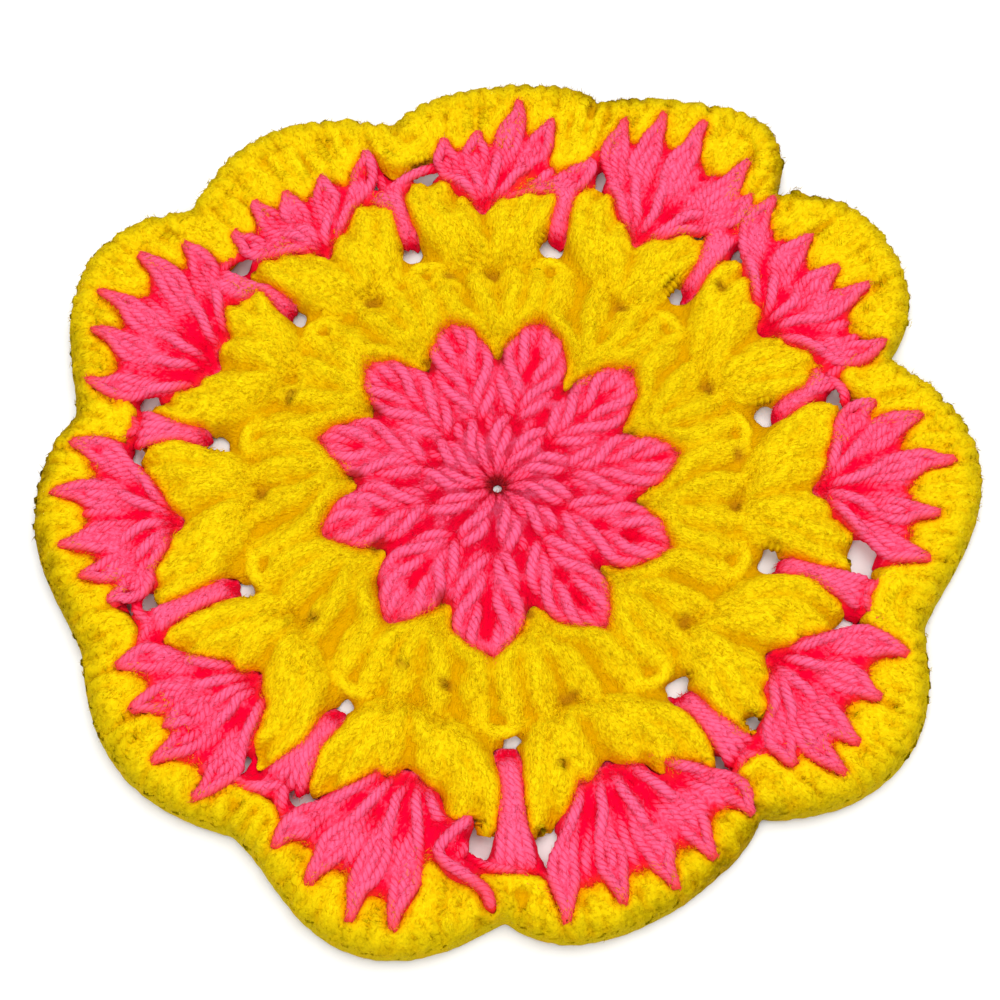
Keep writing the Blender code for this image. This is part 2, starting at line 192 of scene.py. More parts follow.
# Where a stitch runs, from foot to head: share of a repeat from its own place, radius, height, half the
# width between its strands, and their thickness as a share of the yarn's. Some of the shares are
# multiplied by the stitch's own share of the repeat.
SHARE, RADIUS = 0, 1
INNER_STITCH = route_table(
    (0.00, 1.9, 1.7, 0.15, 0.50),
    (0.00, 5.0, 3.2, 0.55, 0.75),
    (0.00, 9.0, 3.8, 1.30, 0.95),
    (0.00, 12.5, 3.7, 1.90, 1.00),
    (0.00, 15.4, 2.6, 1.70, 0.95),
)
STAR_STITCH = route_table(
    (0.06, 13.6, 1.4, 0.50, 0.85),
    (0.19, 16.4, 3.2, 1.10, 0.95),
    (0.25, 20.5, 3.7, 1.70, 1.00),
    (0.25, 25.0, 3.9, 2.15, 1.00),
    (0.215, 29.0, 3.9, 2.00, 1.00),
    (0.150, 32.8, 3.8, 1.35, 1.00),
    (0.095, 35.6, 3.5, 0.80, 0.95),
    (0.050, 37.4, 2.9, 0.35, 0.80),
)
STAR_WAIST = 26.0
STAR_TIP = 37.5
EYE_STITCH = route_table(
    (0.15, 31.0, 1.6, 0.35, 0.80),
    (0.42, 33.4, 3.3, 0.45, 0.90),
    (0.72, 35.8, 3.9, 0.65, 0.95),
    (1.00, 39.2, 4.3, 1.20, 1.00),
    (1.00, 43.6, 4.4, 1.55, 1.00),
    (1.02, 48.3, 3.0, 1.70, 1.00),
)
EYE_SHARES = (-0.375, -0.125, 0.125, 0.375)
LOBE_STITCH = route_table(
    (0.26, 48.4, 1.2, 0.30, 0.80),
    (0.50, 50.8, 3.5, 0.60, 0.95),
    (0.78, 55.0, 4.3, 1.05, 1.00),
    (0.93, 61.0, 4.6, 1.45, 1.05),
    (1.00, 66.0, 4.5, 1.60, 1.05),
    (1.01, 70.4, 3.2, 1.20, 1.00),
)
LOBE_SHARES = (0.115, 0.25, 0.385)
LOBE_FOOT = 50.0
LOBE_RADIUS = 71.8
SHELL_STITCH = route_table(
    (0.00, 64.0, 1.3, 0.15, 0.80),
    (0.18, 66.0, 3.2, 0.20, 0.92),
    (0.36, 68.2, 4.1, 0.30, 1.00),
    (0.53, 70.6, 4.5, 0.50, 1.00),
    (0.68, 73.2, 4.7, 0.80, 1.05),
    (0.81, 75.8, 4.9, 1.20, 1.05),
    (0.90, 78.6, 5.3, 1.90, 1.00),
    (0.955, 81.4, 5.9, 2.00, 1.00),
    (0.985, 84.2, 6.4, 1.30, 0.95),
    (1.00, 87.0, 6.6, 0.60, 0.85),
    (1.005, 89.6, 6.6, 0.25, 0.65),
)
SHELL_BASE = 64.0
SHELL_NECK = 75.0
SHELL_REACH = 90.0
SHELL_SHORTEST = 84.0
SHELL_NECK_DEPTH = 11.0
LEAF_HEIGHT = 6.0
LEAF_MARGIN = 3.0
OUTERMOST_LEAF = 0.42

# The single strand between two leaves: share, radius, height and thickness. There are two of them
# between leaves that are further apart than the wide share.
PLEAT = route_table(
    (0.45, 69.6, 3.6, 0.80),
    (0.68, 73.2, 4.2, 1.00),
    (0.82, 76.0, 4.6, 1.00),
    (0.92, 79.2, 4.8, 1.00),
    (0.97, 82.2, 4.8, 0.95),
    (0.985, 84.4, 3.9, 0.80),
)
WIDE_SHARE = 0.17

# The chain between two lobes, over the gap at a post's foot: shares of the repeat, radii and heights
BRIDGE = route_table(
    (-0.17, 50.0, 2.6),
    (-0.08, 51.2, 3.1),
    (0.0, 51.8, 3.3),
    (0.08, 51.2, 3.1),
    (0.17, 50.0, 2.6),
)
BRIDGE_WIDTH = 0.85

# A post's strands from foot to top: way along it, height, half its width as a share of its top's, and
# thickness
POST_TABLE = route_table(
    (0.00, 1.2, 0.30, 0.85),
    (0.12, 3.9, 0.42, 0.95),
    (0.35, 4.9, 0.50, 1.00),
    (0.60, 5.2, 0.60, 1.00),
    (0.82, 5.0, 0.85, 1.00),
    (0.94, 4.3, 1.10, 0.95),
    (1.00, 2.8, 1.15, 0.85),
)
POST_STRANDS = (-1.0, -0.36, 0.36, 1.0)
LEAST_HALF = 0.95

# The chains from a post's head to the leaves beside it: their heights, and how far inside a leaf's tip
# they end and outside a straight line they swing
CHAIN_HEIGHTS = (4.1, 4.7, 4.3)
CHAIN_END = 0.93
CHAIN_SWING = 1.02
CHAIN_WIDTH = 0.95

# A rim stitch's route over the edge: how far in from the outline, and its height
RIM_ROUTE = ((7.0, 4.2), (4.8, 5.5), (2.9, 4.9), (1.9, 3.3), (2.4, 2.1), (4.0, 1.9))
RIM_INSET = 3.6
RIM_PITCH = 3.1
RIM_LEAN = 2.6
RIM_LINE_STEP = 0.5

# The loose end's route over the last leaf of a shell and the border: bearing, radius and height
TAIL_ROUTE = route_table(
    (266.0, 69.6, 8.3),
    (263.5, 72.4, 7.6),
    (261.9, 75.7, 7.6),
    (262.8, 77.9, 7.9),
    (264.7, 79.3, 8.1),
    (267.0, 81.2, 8.2),
    (268.6, 83.0, 8.5),
    (269.3, 86.0, 9.3),
)
TAIL_THICKNESS = 0.98


class YarnSizes(bpy.types.PropertyGroup):
    """The sizes of both yarns and of their fuzz."""

    pink_strand: FloatProperty(
        name="Pink Strand", description="Diameter of the pink yarn", default=2.4 * MM, unit="LENGTH"
    )
    yellow_strand: FloatProperty(
        name="Yellow Strand", description="Diameter of the yellow yarn, which is loftier",
        default=3.1 * MM, unit="LENGTH",
    )
    lay: FloatProperty(
        name="Lay", description="Length in which the plies go once round the strand",
        default=5.2 * MM, unit="LENGTH",
    )
    pink_groove: FloatProperty(
        name="Pink Groove", description="Depth of the pink plies' grooves, as a share of the radius",
        default=0.15, subtype="FACTOR",
    )
    yellow_groove: FloatProperty(
        name="Yellow Groove", description="Depth of the loftier yellow plies' grooves",
        default=0.04, subtype="FACTOR",
    )
    ring_step: FloatProperty(
        name="Ring Step", description="Distance between the rings of points along a strand",
        default=0.8 * MM, unit="LENGTH",
    )
    fuzz_length: FloatProperty(
        name="Fuzz Length", description="Longest tuft of loose fibres", default=1.5 * MM, unit="LENGTH"
    )
    fuzz_width: FloatProperty(
        name="Fuzz Width", description="Width of a tuft at its root", default=0.2 * MM, unit="LENGTH"
    )
    seed: IntProperty(
        name="Seed", description="Start of the random unevenness of the handwork", default=11
    )


class YarnColours(bpy.types.PropertyGroup):
    """The yarns' dyes as they show on the strands, with painted shade between the strands, in the holes
    and on the rim's outer side, and a painted shadow and glow beside the other yarn.
    """

    pink: FloatVectorProperty(
        name="Pink", description="Pink yarn in the open", default=(0.93, 0.155, 0.325), subtype="COLOR"
    )
    # Painted shade: the pink yarn deep between the strands, where shade falls
    pink_deep: FloatVectorProperty(
        name="Deep Pink", description="Pink yarn between the strands",
        default=(0.86, 0.0, 0.03), subtype="COLOR",
    )
    # Painted shadow and glow: the pink yarn where the yellow lies beside it
    pink_beside: FloatVectorProperty(
        name="Pink beside Yellow", description="Pink yarn where it touches the yellow",
        default=(0.90, 0.05, 0.01), subtype="COLOR",
    )
    # Painted shade: the pink yarn in the holes between stitches
    pink_seam: FloatVectorProperty(
        name="Pink Hole Shade", description="The pink yarn's painted shade in the holes between stitches",
        default=(0.40, 0.012, 0.008), subtype="COLOR",
    )
    yellow: FloatVectorProperty(
        name="Yellow", description="Yellow yarn in the open",
        default=(0.92, 0.70, 0.004), subtype="COLOR",
    )
    # Painted shade: the yellow yarn deep between the strands, where shade falls
    yellow_deep: FloatVectorProperty(
        name="Deep Yellow", description="Yellow yarn between the strands",
        default=(0.65, 0.335, 0.0), subtype="COLOR",
    )
    # Painted shadow and glow: the yellow yarn where the pink lies beside it
    yellow_beside: FloatVectorProperty(
        name="Yellow beside Pink", description="Yellow yarn where it touches the pink",
        default=(0.92, 0.22, 0.0), subtype="COLOR",
    )
    # Painted shade: the yellow yarn in the holes between stitches
    yellow_seam: FloatVectorProperty(
        name="Yellow Hole Shade", description="The yellow yarn's painted shade in the holes between stitches",
        default=(0.40, 0.16, 0.004), subtype="COLOR",
    )
    # Painted shade on the rim's outer side, which curls down away from the light
    rim: FloatVectorProperty(
        name="Rim", description="Painted olive shade on the rim's outer side",
        default=(0.64, 0.47, 0.003), subtype="COLOR",
    )
    # Darker painted shade on the rim's outer side, between its fibres
    rim_deep: FloatVectorProperty(
        name="Deep Rim", description="The rim's outer side between its fibres",
        default=(0.30, 0.18, 0.0), subtype="COLOR",
    )


class StageSettings(bpy.types.PropertyGroup):
    """The camera, lights and floor."""

    distance: FloatProperty(
        name="Distance", description="From the camera to the eyelet", default=0.398, unit="LENGTH"
    )
    elevation: FloatProperty(
        name="Elevation", description="Angle of the view above the floor",
        default=math.radians(66.6), subtype="ANGLE",
    )
    floor_size: FloatProperty(
        name="Floor Size", description="Side of the square floor", default=8.0, unit="LENGTH"
    )


def sizes():
    """The yarn sizes in use."""
    return bpy.context.scene.pot_holder_sizes


def dye_and_shade_of(is_pink, part=""):
    """One yarn's dye in the open, or one of its painted shades, such as _deep."""
    return getattr(bpy.context.scene.pot_holder_colours, ("pink" if is_pink else "yellow") + part)


def dice(name):
    """Random numbers for one round, the same at each run."""
    return np.random.default_rng([sizes().seed, *name.encode()])


def unit(vectors):
    """Rows of vectors, each at length 1."""
    return vectors / np.maximum(np.linalg.norm(vectors, axis=1, keepdims=True), 1e-9)


# Places are read at each half repeat, from one repeat before the first post to one after the last
HALF_STEPS = range(-2, 2 * COUNT + 3)
KNOT_PLACES = np.array(HALF_STEPS) / 2


def knot_bearings(at_post, at_shell):
    """The bearings at each half repeat, of one feature at the posts and one at the shells."""
    rows = [(BEARINGS[step // 2 % COUNT], at_shell if step % 2 else at_post) for step in HALF_STEPS]
    turns = [TURN * (step // 2 // COUNT) for step in HALF_STEPS]
    return [getattr(row, name) + turn for (row, name), turn in zip(rows, turns)]


STAR_BEARINGS = knot_bearings("star_tip", "star_valley")
POST_BEARINGS = knot_bearings("post", "shell")
EDGE_BEARINGS = knot_bearings("notch", "shell_top")


def bearing(place, radius):
    """The bearing of a place at a radius. The rounds lean a little over each other."""
    star, post, edge = (
        np.interp(place, KNOT_PLACES, knots) for knots in (STAR_BEARINGS, POST_BEARINGS, EDGE_BEARINGS)
    )
    inner = np.clip((radius - STAR_RING) / (POST_RING - STAR_RING), 0.0, 1.0)
    outer = np.clip((radius - POST_RING) / (EDGE_RING - POST_RING), 0.0, 1.0)
    return star + (post - star) * inner + (edge - post) * outer


def place_at(angle, radius):
    """The place whose bearing at a radius is an angle."""
    return float(np.interp(angle, bearing(KNOT_PLACES, radius), KNOT_PLACES))


def at_bearing(angle, radius, height=0.0):
    """The point or points at a bearing, radius and height, in millimetres from the origin."""
    angle, radius, height = np.broadcast_arrays(np.radians(angle), radius, height)
    across = EYELET[0] + radius * np.cos(angle)
    away = EYELET[1] + radius * np.sin(angle)
    return np.stack([across, away, height], axis=-1).astype(float)


def spot(place, radius, height=0.0):
    """The point or points at a place, radius and height, in millimetres from the origin."""
    return at_bearing(bearing(place, radius), radius, height)


READ_HEIGHT = 4.0


def seen_at(angle, radius, height):
    """The bearing and radius of what, at a height, is seen at a bearing and radius level with the
    eyelet's upper side.
    """
    point = at_bearing(angle, radius)[:2] - EYELET
    point[1] -= (height - READ_HEIGHT) / math.tan(bpy.context.scene.pot_holder_stage.elevation)
    turned = math.degrees(math.atan2(point[1], point[0])) - angle
    return angle + (turned + TURN / 2) % TURN - TURN / 2, float(np.linalg.norm(point))


@lru_cache
def scallop_curve(index):
    """The rim's radius over one repeat, as a polynomial of the share from its first post."""
    row = RADII[index]
    bulge = (row.notch, row.rise, row.crest, row.fall, RADII[(index + 1) % COUNT].notch)
    return np.polyfit(SCALLOP_SHARES, bulge, len(SCALLOP_SHARES) - 1)


def scallop_radius(place):
    """The radius of the rim at a place."""
    index = math.floor(place)
    return float(np.polyval(scallop_curve(index % COUNT), place - index))


LAST_TURN = 350.0


def edge_radius(angle):
    """The radius of the rim at a bearing."""
    return scallop_radius(place_at(angle if angle < LAST_TURN else angle - TURN, EDGE_RING))


def outline(places):
    """The rim's outline at places."""
    return spot(places, np.array([scallop_radius(place) for place in places]))


@lru_cache
def leaf_tips(index):
    """The bearings and radii of a shell's leaves' tips, inside the rim."""
    seen = [seen_at(*tip, LEAF_HEIGHT) for tip in SHELLS[index % COUNT].tips]
    return [(angle, min(reach, edge_radius(angle) - LEAF_MARGIN)) for angle, reach in seen]


def flank_radius(place):
    """The radius of the shells' inner side at a place."""
    chain = RADII[math.floor(place + 0.5) % COUNT].chain
    shell = SHELLS[math.floor(place) % COUNT]
    from_shell = abs(place - math.floor(place) - 0.5)
    widened = max(0.0, from_shell - max(0.0, shell.half - NARROW_HALF) * (1 - from_shell / 0.5))
    radius = np.interp(widened, FLANK_SHARES + (FLANK_END,), FLANK_RADII + (chain,))
    return radius + (shell.base - FLANK_RADII[0]) * max(0.0, 1 - from_shell / FOOT_REACH)


def travelled_along(points):
    """How far along a run of points each of them lies."""
    return np.concatenate([[0.0], np.cumsum(np.linalg.norm(np.diff(points, axis=0), axis=1))])


CURVE_STOPS = 9


def smooth_run(points, step):
    """Points a step apart on a Catmull-Rom curve through the given ones."""
    points = np.asarray(points, dtype=float)
    padded = np.vstack([2 * points[0] - points[1], points, 2 * points[-1] - points[-2]])
    p0, p1, p2, p3 = (padded[first : first + len(points) - 1, None] for first in range(4))
    t = np.linspace(0.0, 1.0, CURVE_STOPS)[None, :, None]
    curve = 0.5 * (
        2 * p1
        + (p2 - p0) * t
        + (2 * p0 - 5 * p1 + 4 * p2 - p3) * t**2
        + (3 * p1 - p0 - 3 * p2 + p3) * t**3
    )
    dense = np.vstack([curve[:, :-1].reshape(-1, points.shape[1]), points[-1:]])
    travelled = travelled_along(dense[:, :3])
    stations = np.linspace(0.0, travelled[-1], max(3, round(travelled[-1] / step) + 1))
    return np.stack([np.interp(stations, travelled, column) for column in dense.T], axis=1)


# A strand is a run of points with a radius at each. The lofty yellow strands, which lie mostly under
# their fleece, have their rings of points further apart.
Strand = namedtuple("Strand", "points radius")
LOFTY_RADIUS = 1.4
LOFTY_STEP = 1.5


def strand_through(points, thickness):
    """A strand on a smooth curve through points, with one radius or a radius at each."""
    thickness = np.broadcast_to(thickness, len(points))
    step = sizes().ring_step / MM * (1.0 if max(thickness) < LOFTY_RADIUS else LOFTY_STEP)
    run = smooth_run(np.column_stack([points, thickness]), step)
    return Strand(run[:, :3], run[:, 3])


def shaken(points, random, shake):
    """Points of which all but the ends are moved a little by chance."""
    points[1:-1] += random.normal(0.0, shake, (len(points) - 2, 3))
    return points


def sideways(route):
    """The level direction square to a route, to its left, at each of its points."""
    along = np.gradient(route, axis=0)
    return unit(np.stack([-along[:, 1], along[:, 0], np.zeros(len(route))], axis=1))


def swung(left, spread, lift, phase):
    """How far a strand is off its stitch's route as it turns round it."""
    return left * (spread * np.cos(phase))[:, None] + UP * (lift * np.sin(phase))[:, None]


def stretched(table, start, end, new_end):
    """A stitch's table whose radii past a start are stretched, so that one end becomes another."""
    table = table.copy()
    past = table[:, RADIUS] > start
    growth = (new_end - start) / (end - start)
    table[past, RADIUS] = start + (table[past, RADIUS] - start) * growth
    return table


def scaled_shares(table, share):
    """A stitch's table whose shares are parts of the stitch's own share."""
    table = table.copy()
    table[:, SHARE] *= share
    return table


ROUTE_STEP = 1.6
LEVEL_SHAKE = 0.22
HEIGHT_SHAKE = 0.12
PAIR_LIFT = 0.7
PLAIT_LIFT = 0.75
HEAD_LENGTH = 1.2
HEAD_SHARE = 0.9

# The strand inside a stitch's pair: where it begins, where the pair is too narrow for it, and its level
FILL_FROM = 0.12
FILL_SPREAD = 0.6
FILL_RISE = 0.35
FILL_SINK = 0.55

# The strand that slants over a stitch: its span, how high and how far across it goes, and its thickness
WRAP_SPAN = (0.12, 0.95)
WRAP_RISE = 1.45
WRAP_CURVE = 2.2
WRAP_SINK = 0.35
WRAP_REACH = 1.15
WRAP_WIDTH = 0.94


def stitch_route(place, table, dither, is_bumpy):
    """A stitch's route, and along it the half width between its strands, their thickness, the level
    direction to its left and the way from foot to head.
    """
    points = spot(place + table[:, 0], table[:, 1], table[:, 2])
    points[1:-1, :2] += dither.normal(0.0, LEVEL_SHAKE, (len(points) - 2, 2))
    if is_bumpy:
        points[1:-1, 2] += dither.normal(0.0, HEIGHT_SHAKE, len(points) - 2)
    run = smooth_run(np.column_stack([points, table[:, 3:]]), ROUTE_STEP)
    return run[:, :3], run[:, 3], run[:, 4], sideways(run[:, :3]), np.linspace(0.0, 1.0, len(run))


def stitch(place, table, radius, turns, dither, wrap, span=WRAP_SPAN, fill_to=1.0):
    """A stitch's strands: a pair that turns round each other from foot to head, where it closes in a
    loop, one strand inside the pair, and one that slants over its front, to the side of wrap.
    """
    route, spread, thickness, left, way = stitch_route(place, table, dither, True)
    phase = 2 * math.pi * turns * (way - 0.5)
    offset = swung(left, spread, np.minimum(spread * 0.5, PAIR_LIFT), phase)
    forward = route[-1] - route[-2]
    forward /= np.linalg.norm(forward)
    cap = route[-1] + forward * min(spread[-1], HEAD_LENGTH) * HEAD_SHARE
    pair = np.vstack([route + offset, cap, (route - offset)[::-1]])
    thick = radius * np.concatenate([thickness, thickness[-1:], thickness[::-1]])
    strands = [strand_through(pair, thick)]
    within = (way > FILL_FROM) & (way < fill_to) & (spread > FILL_SPREAD)
    if within.sum() > 2:
        fill = route[within] + UP * (spread[within] * FILL_RISE - FILL_SINK)[:, None]
        strands.append(strand_through(fill, radius * thickness[within]))
    over = (way > span[0]) & (way < span[1])
    swing = np.interp(way[over], span, (-1.0, 1.0)) * wrap
    rise = radius * (WRAP_RISE * (1 - np.abs(swing) ** WRAP_CURVE) - WRAP_SINK)
    slant = route[over] + left[over] * (swing * spread[over] * WRAP_REACH)[:, None]
    slant = slant + UP * rise[:, None]
    strands.append(strand_through(slant, radius * thickness[over] * WRAP_WIDTH))
    return strands


def plait(place, table, radius, turns, dither):
    """Three strands that are plaited round each other from foot to head, as wide as a stitch."""
    route, spread, thickness, left, way = stitch_route(place, table, dither, False)
    lift = np.minimum(spread * 0.55, PLAIT_LIFT)
    start = dither.uniform(0.0, 1.0)
    strands = []
    for third in range(3):
        phase = 2 * math.pi * (turns * way + start + third / 3)
        strands.append(strand_through(route + swung(left, spread, lift, phase), radius * thickness))
    return strands


# How often the strands of a stitch turn round each other, in each round
INNER_TURNS = 0.8
STAR_TURNS = 1.15
YELLOW_TURNS = 0.38
SHELL_TURNS = 0.22


def inner_round(random, radius):
    """The first round: eleven pink stitches out of the eyelet."""
    for index in range(COUNT):
        turns = INNER_TURNS + random.uniform(-0.1, 0.1)
        yield from plait(index + 0.5, INNER_STITCH, radius, turns, random)


def star_round(random, radius):
    """The second round: pairs of pink stitches out of one hole, which end in the star's points."""
    for index in range(COUNT):
        tip = RADII[index].star_tip
        for side in (-1, 1):
            reach = tip - (0.0 if side < 0 else 0.9) + random.uniform(-0.4, 0.4)
            table = scaled_shares(stretched(STAR_STITCH, STAR_WAIST, STAR_TIP, reach), side)
            turns = -side * (STAR_TURNS + random.uniform(-0.12, 0.12))
            yield from plait(index, table, radius, turns, random)


def eye_round(random, radius):
    """The third round: four yellow stitches out of each of the star's valleys."""
    for index in range(COUNT):
        for share in EYE_SHARES:
            table = scaled_shares(EYE_STITCH, share)
            table[0, RADIUS] -= table[0, RADIUS] - RADII[index].star_valley + 0.6
            side = math.copysign(1, share)
            turns = side * YELLOW_TURNS + random.uniform(-0.08, 0.08)
            yield from stitch(index + 0.5, table, radius, turns, random, side)


def lobe_round(random, radius):
    """The fourth round: three yellow stitches to each lobe, six out of each eye."""
    across, out, heights = BRIDGE.T
    for index in range(COUNT):
        for side in (-1, 1):
            for share in LOBE_SHARES:
                end = min(LOBE_RADIUS, flank_radius(index + 0.5 + side * share) - 0.55)
                table = stretched(LOBE_STITCH, LOBE_FOOT, LOBE_RADIUS, end - 0.6)
                turns = side * (YELLOW_TURNS + random.uniform(-0.08, 0.08))
                table = scaled_shares(table, side * share)
                yield from stitch(index + 0.5, table, radius, turns, random, side)
        yield strand_through(spot(index + across, out, heights), radius * BRIDGE_WIDTH)


def shell_table(stops, shell, out, reach):
    """A table for one of a shell's legs, out to a share of the repeat and to a reach."""
    base_share = out * shell.half / OUTERMOST_LEAF
    neck = SHELL_NECK if reach > SHELL_SHORTEST else reach - SHELL_NECK_DEPTH
    growth = (neck - shell.base) / (neck - SHELL_BASE)
    table = stretched(stops, neck, SHELL_REACH, reach)
    inner = table[:, RADIUS] < neck
    table[inner, RADIUS] = shell.base + (table[inner, RADIUS] - SHELL_BASE) * growth
    table[:, SHARE] = base_share + (out - base_share) * table[:, SHARE]
    return table


def shell_round(random, radius):
    """The pink shells: five stitches out of one space, each with a head like a pointed leaf, and a
    strand between each two.
    """
    for index, shell in enumerate(SHELLS):
        middle = index + 0.5
        legs = []
        for leaf, (tip_bearing, reach) in enumerate(leaf_tips(index)):
            out = place_at(tip_bearing, EDGE_RING) - index - 0.5
            legs.append((out, reach))
            side = -1 if leaf < 2 else 1
            turns = side * (SHELL_TURNS + random.uniform(-0.05, 0.05))
            table = shell_table(SHELL_STITCH, shell, out, reach)
            yield from stitch(middle, table, radius, turns, random, side, (0.05, 0.55), 0.8)
        for (low, low_reach), (high, high_reach) in zip(legs, legs[1:]):
            for part in (0.5,) if high - low < WIDE_SHARE else (0.33, 0.67):
                out = low + (high - low) * part
                pleat = shell_table(PLEAT, shell, out, min(low_reach, high_reach))
                points = spot(middle + pleat[:, 0], pleat[:, 1], pleat[:, 2])
                yield strand_through(shaken(points, random, 0.15), radius * pleat[:, 3])


def post_round(random, radius):
    """The pink posts between the shells, and the chains that join their heads to the leaves."""
    way, height, width, thick = POST_TABLE.T
    for index, post in enumerate(POSTS):
        foot = spot(index, post.foot)
        top = at_bearing(post.bearing, post.top)
        along = (top - foot) / np.linalg.norm(top - foot)
        left = np.array([-along[1], along[0], 0.0])
        half = np.maximum(width * post.flare, LEAST_HALF * np.minimum(1.0, 0.7 + way))
        for share in POST_STRANDS:
            points = foot + (top - foot) * way[:, None] + left * (half * share)[:, None]
            points[:, 2] = height + 0.25 * (1 - abs(share))
            yield strand_through(shaken(points, random, 0.12), radius * thick)
        for leaf in (leaf_tips(index - 1)[-1], leaf_tips(index)[0]):
            neck = at_bearing(*leaf)
            neck[:2] = (neck[:2] - EYELET) * CHAIN_END + EYELET
            points = np.stack([top, (top + neck) / 2, neck])
            points[1, :2] = (points[1, :2] - EYELET) * CHAIN_SWING + EYELET
            points[:, 2] = CHAIN_HEIGHTS
            yield strand_through(points, radius * CHAIN_WIDTH)


BORDER_SHAKE = 0.15
LOOP_STEP = 2.7
LEAF_ROOM = 2.6
LEAST_LOOP = 1.5
LOOP_SHARES = np.array([-1.0, -1.0, -0.75, 0.0, 0.75, 1.0, 1.0])
LOOP_HEIGHTS = np.array([4.6, 5.0, 4.9, 4.6, 4.9, 5.0, 4.6])


def border_loop(angle, inner, half, lift, radius, random):
    """A yellow loop that opens towards the rim, from its inner end at a bearing and radius."""
    step = math.degrees(1.0 / inner)
    rims = [edge_radius(angle + side * half * step) - RIM_INSET for side in (-1, 1)]
    bend = min(inner + 1.3 * half + 1.5, min(rims) - 1.5)
    shoulder = ((inner + bend) / 2 + inner) / 2
    radii = np.array([rims[0], bend, shoulder, inner, shoulder, bend, rims[1]])
    points = at_bearing(angle + LOOP_SHARES * half * step, radii, LOOP_HEIGHTS + lift)
    return strand_through(shaken(points, random, BORDER_SHAKE), radius)


def border_spoke(angle, inner, half, radius, random):
    """A yellow strand from a bearing and radius out to the rim, with one beside it on either side."""
    rim = edge_radius(angle) - RIM_INSET
    bend = max(inner + 1.5, min(inner + 6.0, rim - 2.0))
    step = math.degrees(1.0 / inner)
    beside = [inner + 0.2, inner + 0.6, inner + 2.4, bend, rim]
    for side in (-1, 1):
        shares = side * np.array([0.0, half * 0.75, half, half * 1.2, half * 1.35])
        points = at_bearing(angle + shares * step, beside, [2.4, 3.8, 4.5, 4.8, 4.5])
        yield strand_through(shaken(points, random, BORDER_SHAKE), radius)
    points = at_bearing(angle, [inner + 1.2, inner + 3.0, bend + 1.0, rim], [3.0, 4.8, 5.2, 4.7])
    yield strand_through(shaken(points, random, BORDER_SHAKE), radius)


def border_tongues(random, radius):
    """The border's long stitches: tongues in between the leaves, and loops over the posts' heads."""
    for index in range(COUNT):
        tips = leaf_tips(index)
        for (low, low_reach), (high, high_reach) in zip(tips, tips[1:]):
            width = math.radians(high - low) * EDGE_RING
            nearest = min(low_reach, high_reach)
            inner = min(max(RADII[index].dip + 0.6, nearest - 5.0), nearest - 3.0)
            half = max(0.6, min(width * 0.5 - radius * 0.75, 2.6))
            yield from border_spoke((low + high) / 2, inner, half, radius, random)
        after = (index + 1) % COUNT
        last, following = tips[-1][0], leaf_tips(after)[0][0]
        if following < last:
            following += TURN
        middle = (last + following) / 2
        half = math.radians(following - last) / 2 * EDGE_RING - LEAF_ROOM
        gap_ends = [reach + depth / 2 for _, reach, _, depth in GAPS[after][1:]]
        inner, lift = max(POSTS[after].top + 0.6, max(gap_ends) + 1.0), 0.0
        room = min(edge_radius(angle) for angle in (last, following, middle)) - 7.0
        while half > LEAST_LOOP and inner < room:
            yield border_loop(middle, inner, half, lift, radius, random)
            half, inner, lift = half - LOOP_STEP, inner + LOOP_STEP, lift + 0.3
        yield from border_spoke(middle, min(inner, room + 1.0), 0.6, radius, random)


def rim_wraps(random, radius):
    """The short stitches that lean over the rim, from its upper side round its edge to its back."""
    loop = outline(np.arange(0.0, COUNT, 0.02))
    line = smooth_run(np.vstack([loop, loop[:1]])[::2], RIM_LINE_STEP)
    inward = sideways(line)
    stitches = round(len(line) * RIM_LINE_STEP / RIM_PITCH)
    for index in range(stitches):
        start = (index + random.uniform(-0.12, 0.12)) / stitches * (len(line) - 1)
        lean = RIM_LEAN * random.uniform(0.7, 1.3) / RIM_LINE_STEP
        route = []
        for share, (inset, height) in zip(np.linspace(-0.5, 0.5, len(RIM_ROUTE)), RIM_ROUTE):
            at = round(start + share * lean) % (len(line) - 1)
            inset += random.normal(0.0, HEIGHT_SHAKE)
            rise = UP * (height + random.normal(0.0, HEIGHT_SHAKE))
            route.append(line[at] + inward[at] * inset + rise)
        yield strand_through(route, radius)


def loose_end(random, radius):
    """The loose end of pink yarn that lies over the border."""
    yield strand_through(at_bearing(*TAIL_ROUTE.T), radius * TAIL_THICKNESS)


# Each round: what works it, the name of its random numbers, and whether it is pink
Round = namedtuple("Round", "work chance is_pink")
ROUNDS = {
    "inner_round": Round(inner_round, "inner", True),
    "star_round": Round(star_round, "star", True),
    "eye_round": Round(eye_round, "eye", False),
    "lobe_round": Round(lobe_round, "lobe", False),
    "shell_stitches": Round(shell_round, "shell", True),
    "post_stitches": Round(post_round, "post", True),
    "border_tongues": Round(border_tongues, "tongue", False),
    "rim_wraps": Round(rim_wraps, "rim", False),
    "loose_end": Round(loose_end, "tail", True),
}


@lru_cache
def strands_of(name):
    """A round's strands, worked once."""
    work, chance, is_pink = ROUNDS[name]
    width = sizes().pink_strand if is_pink else sizes().yellow_strand
    return list(work(dice(chance), width / MM / 2))


def yarn_strands(is_pink):
    """All the strands of one yarn."""
    rounds = [name for name, row in ROUNDS.items() if row.is_pink == is_pink]
    return [strand for name in rounds for strand in strands_of(name)]


# The level grid over the whole pot holder, on which the cloth between the strands is worked out
GRID_STEP = 0.4
GRID_HALF = 106.0
CELLS = int(2 * GRID_HALF / GRID_STEP) + 1


@lru_cache
def grid_places():
    """The place of each cell of the grid, as rows of points."""
    ticks = np.arange(CELLS) * GRID_STEP - GRID_HALF
    across, away = np.meshgrid(ticks, ticks)
    return np.stack([across.ravel(), away.ravel()], axis=1)


def on_grid(values):
    """Values at the grid's places, as a grid."""
    return values.reshape(CELLS, CELLS)


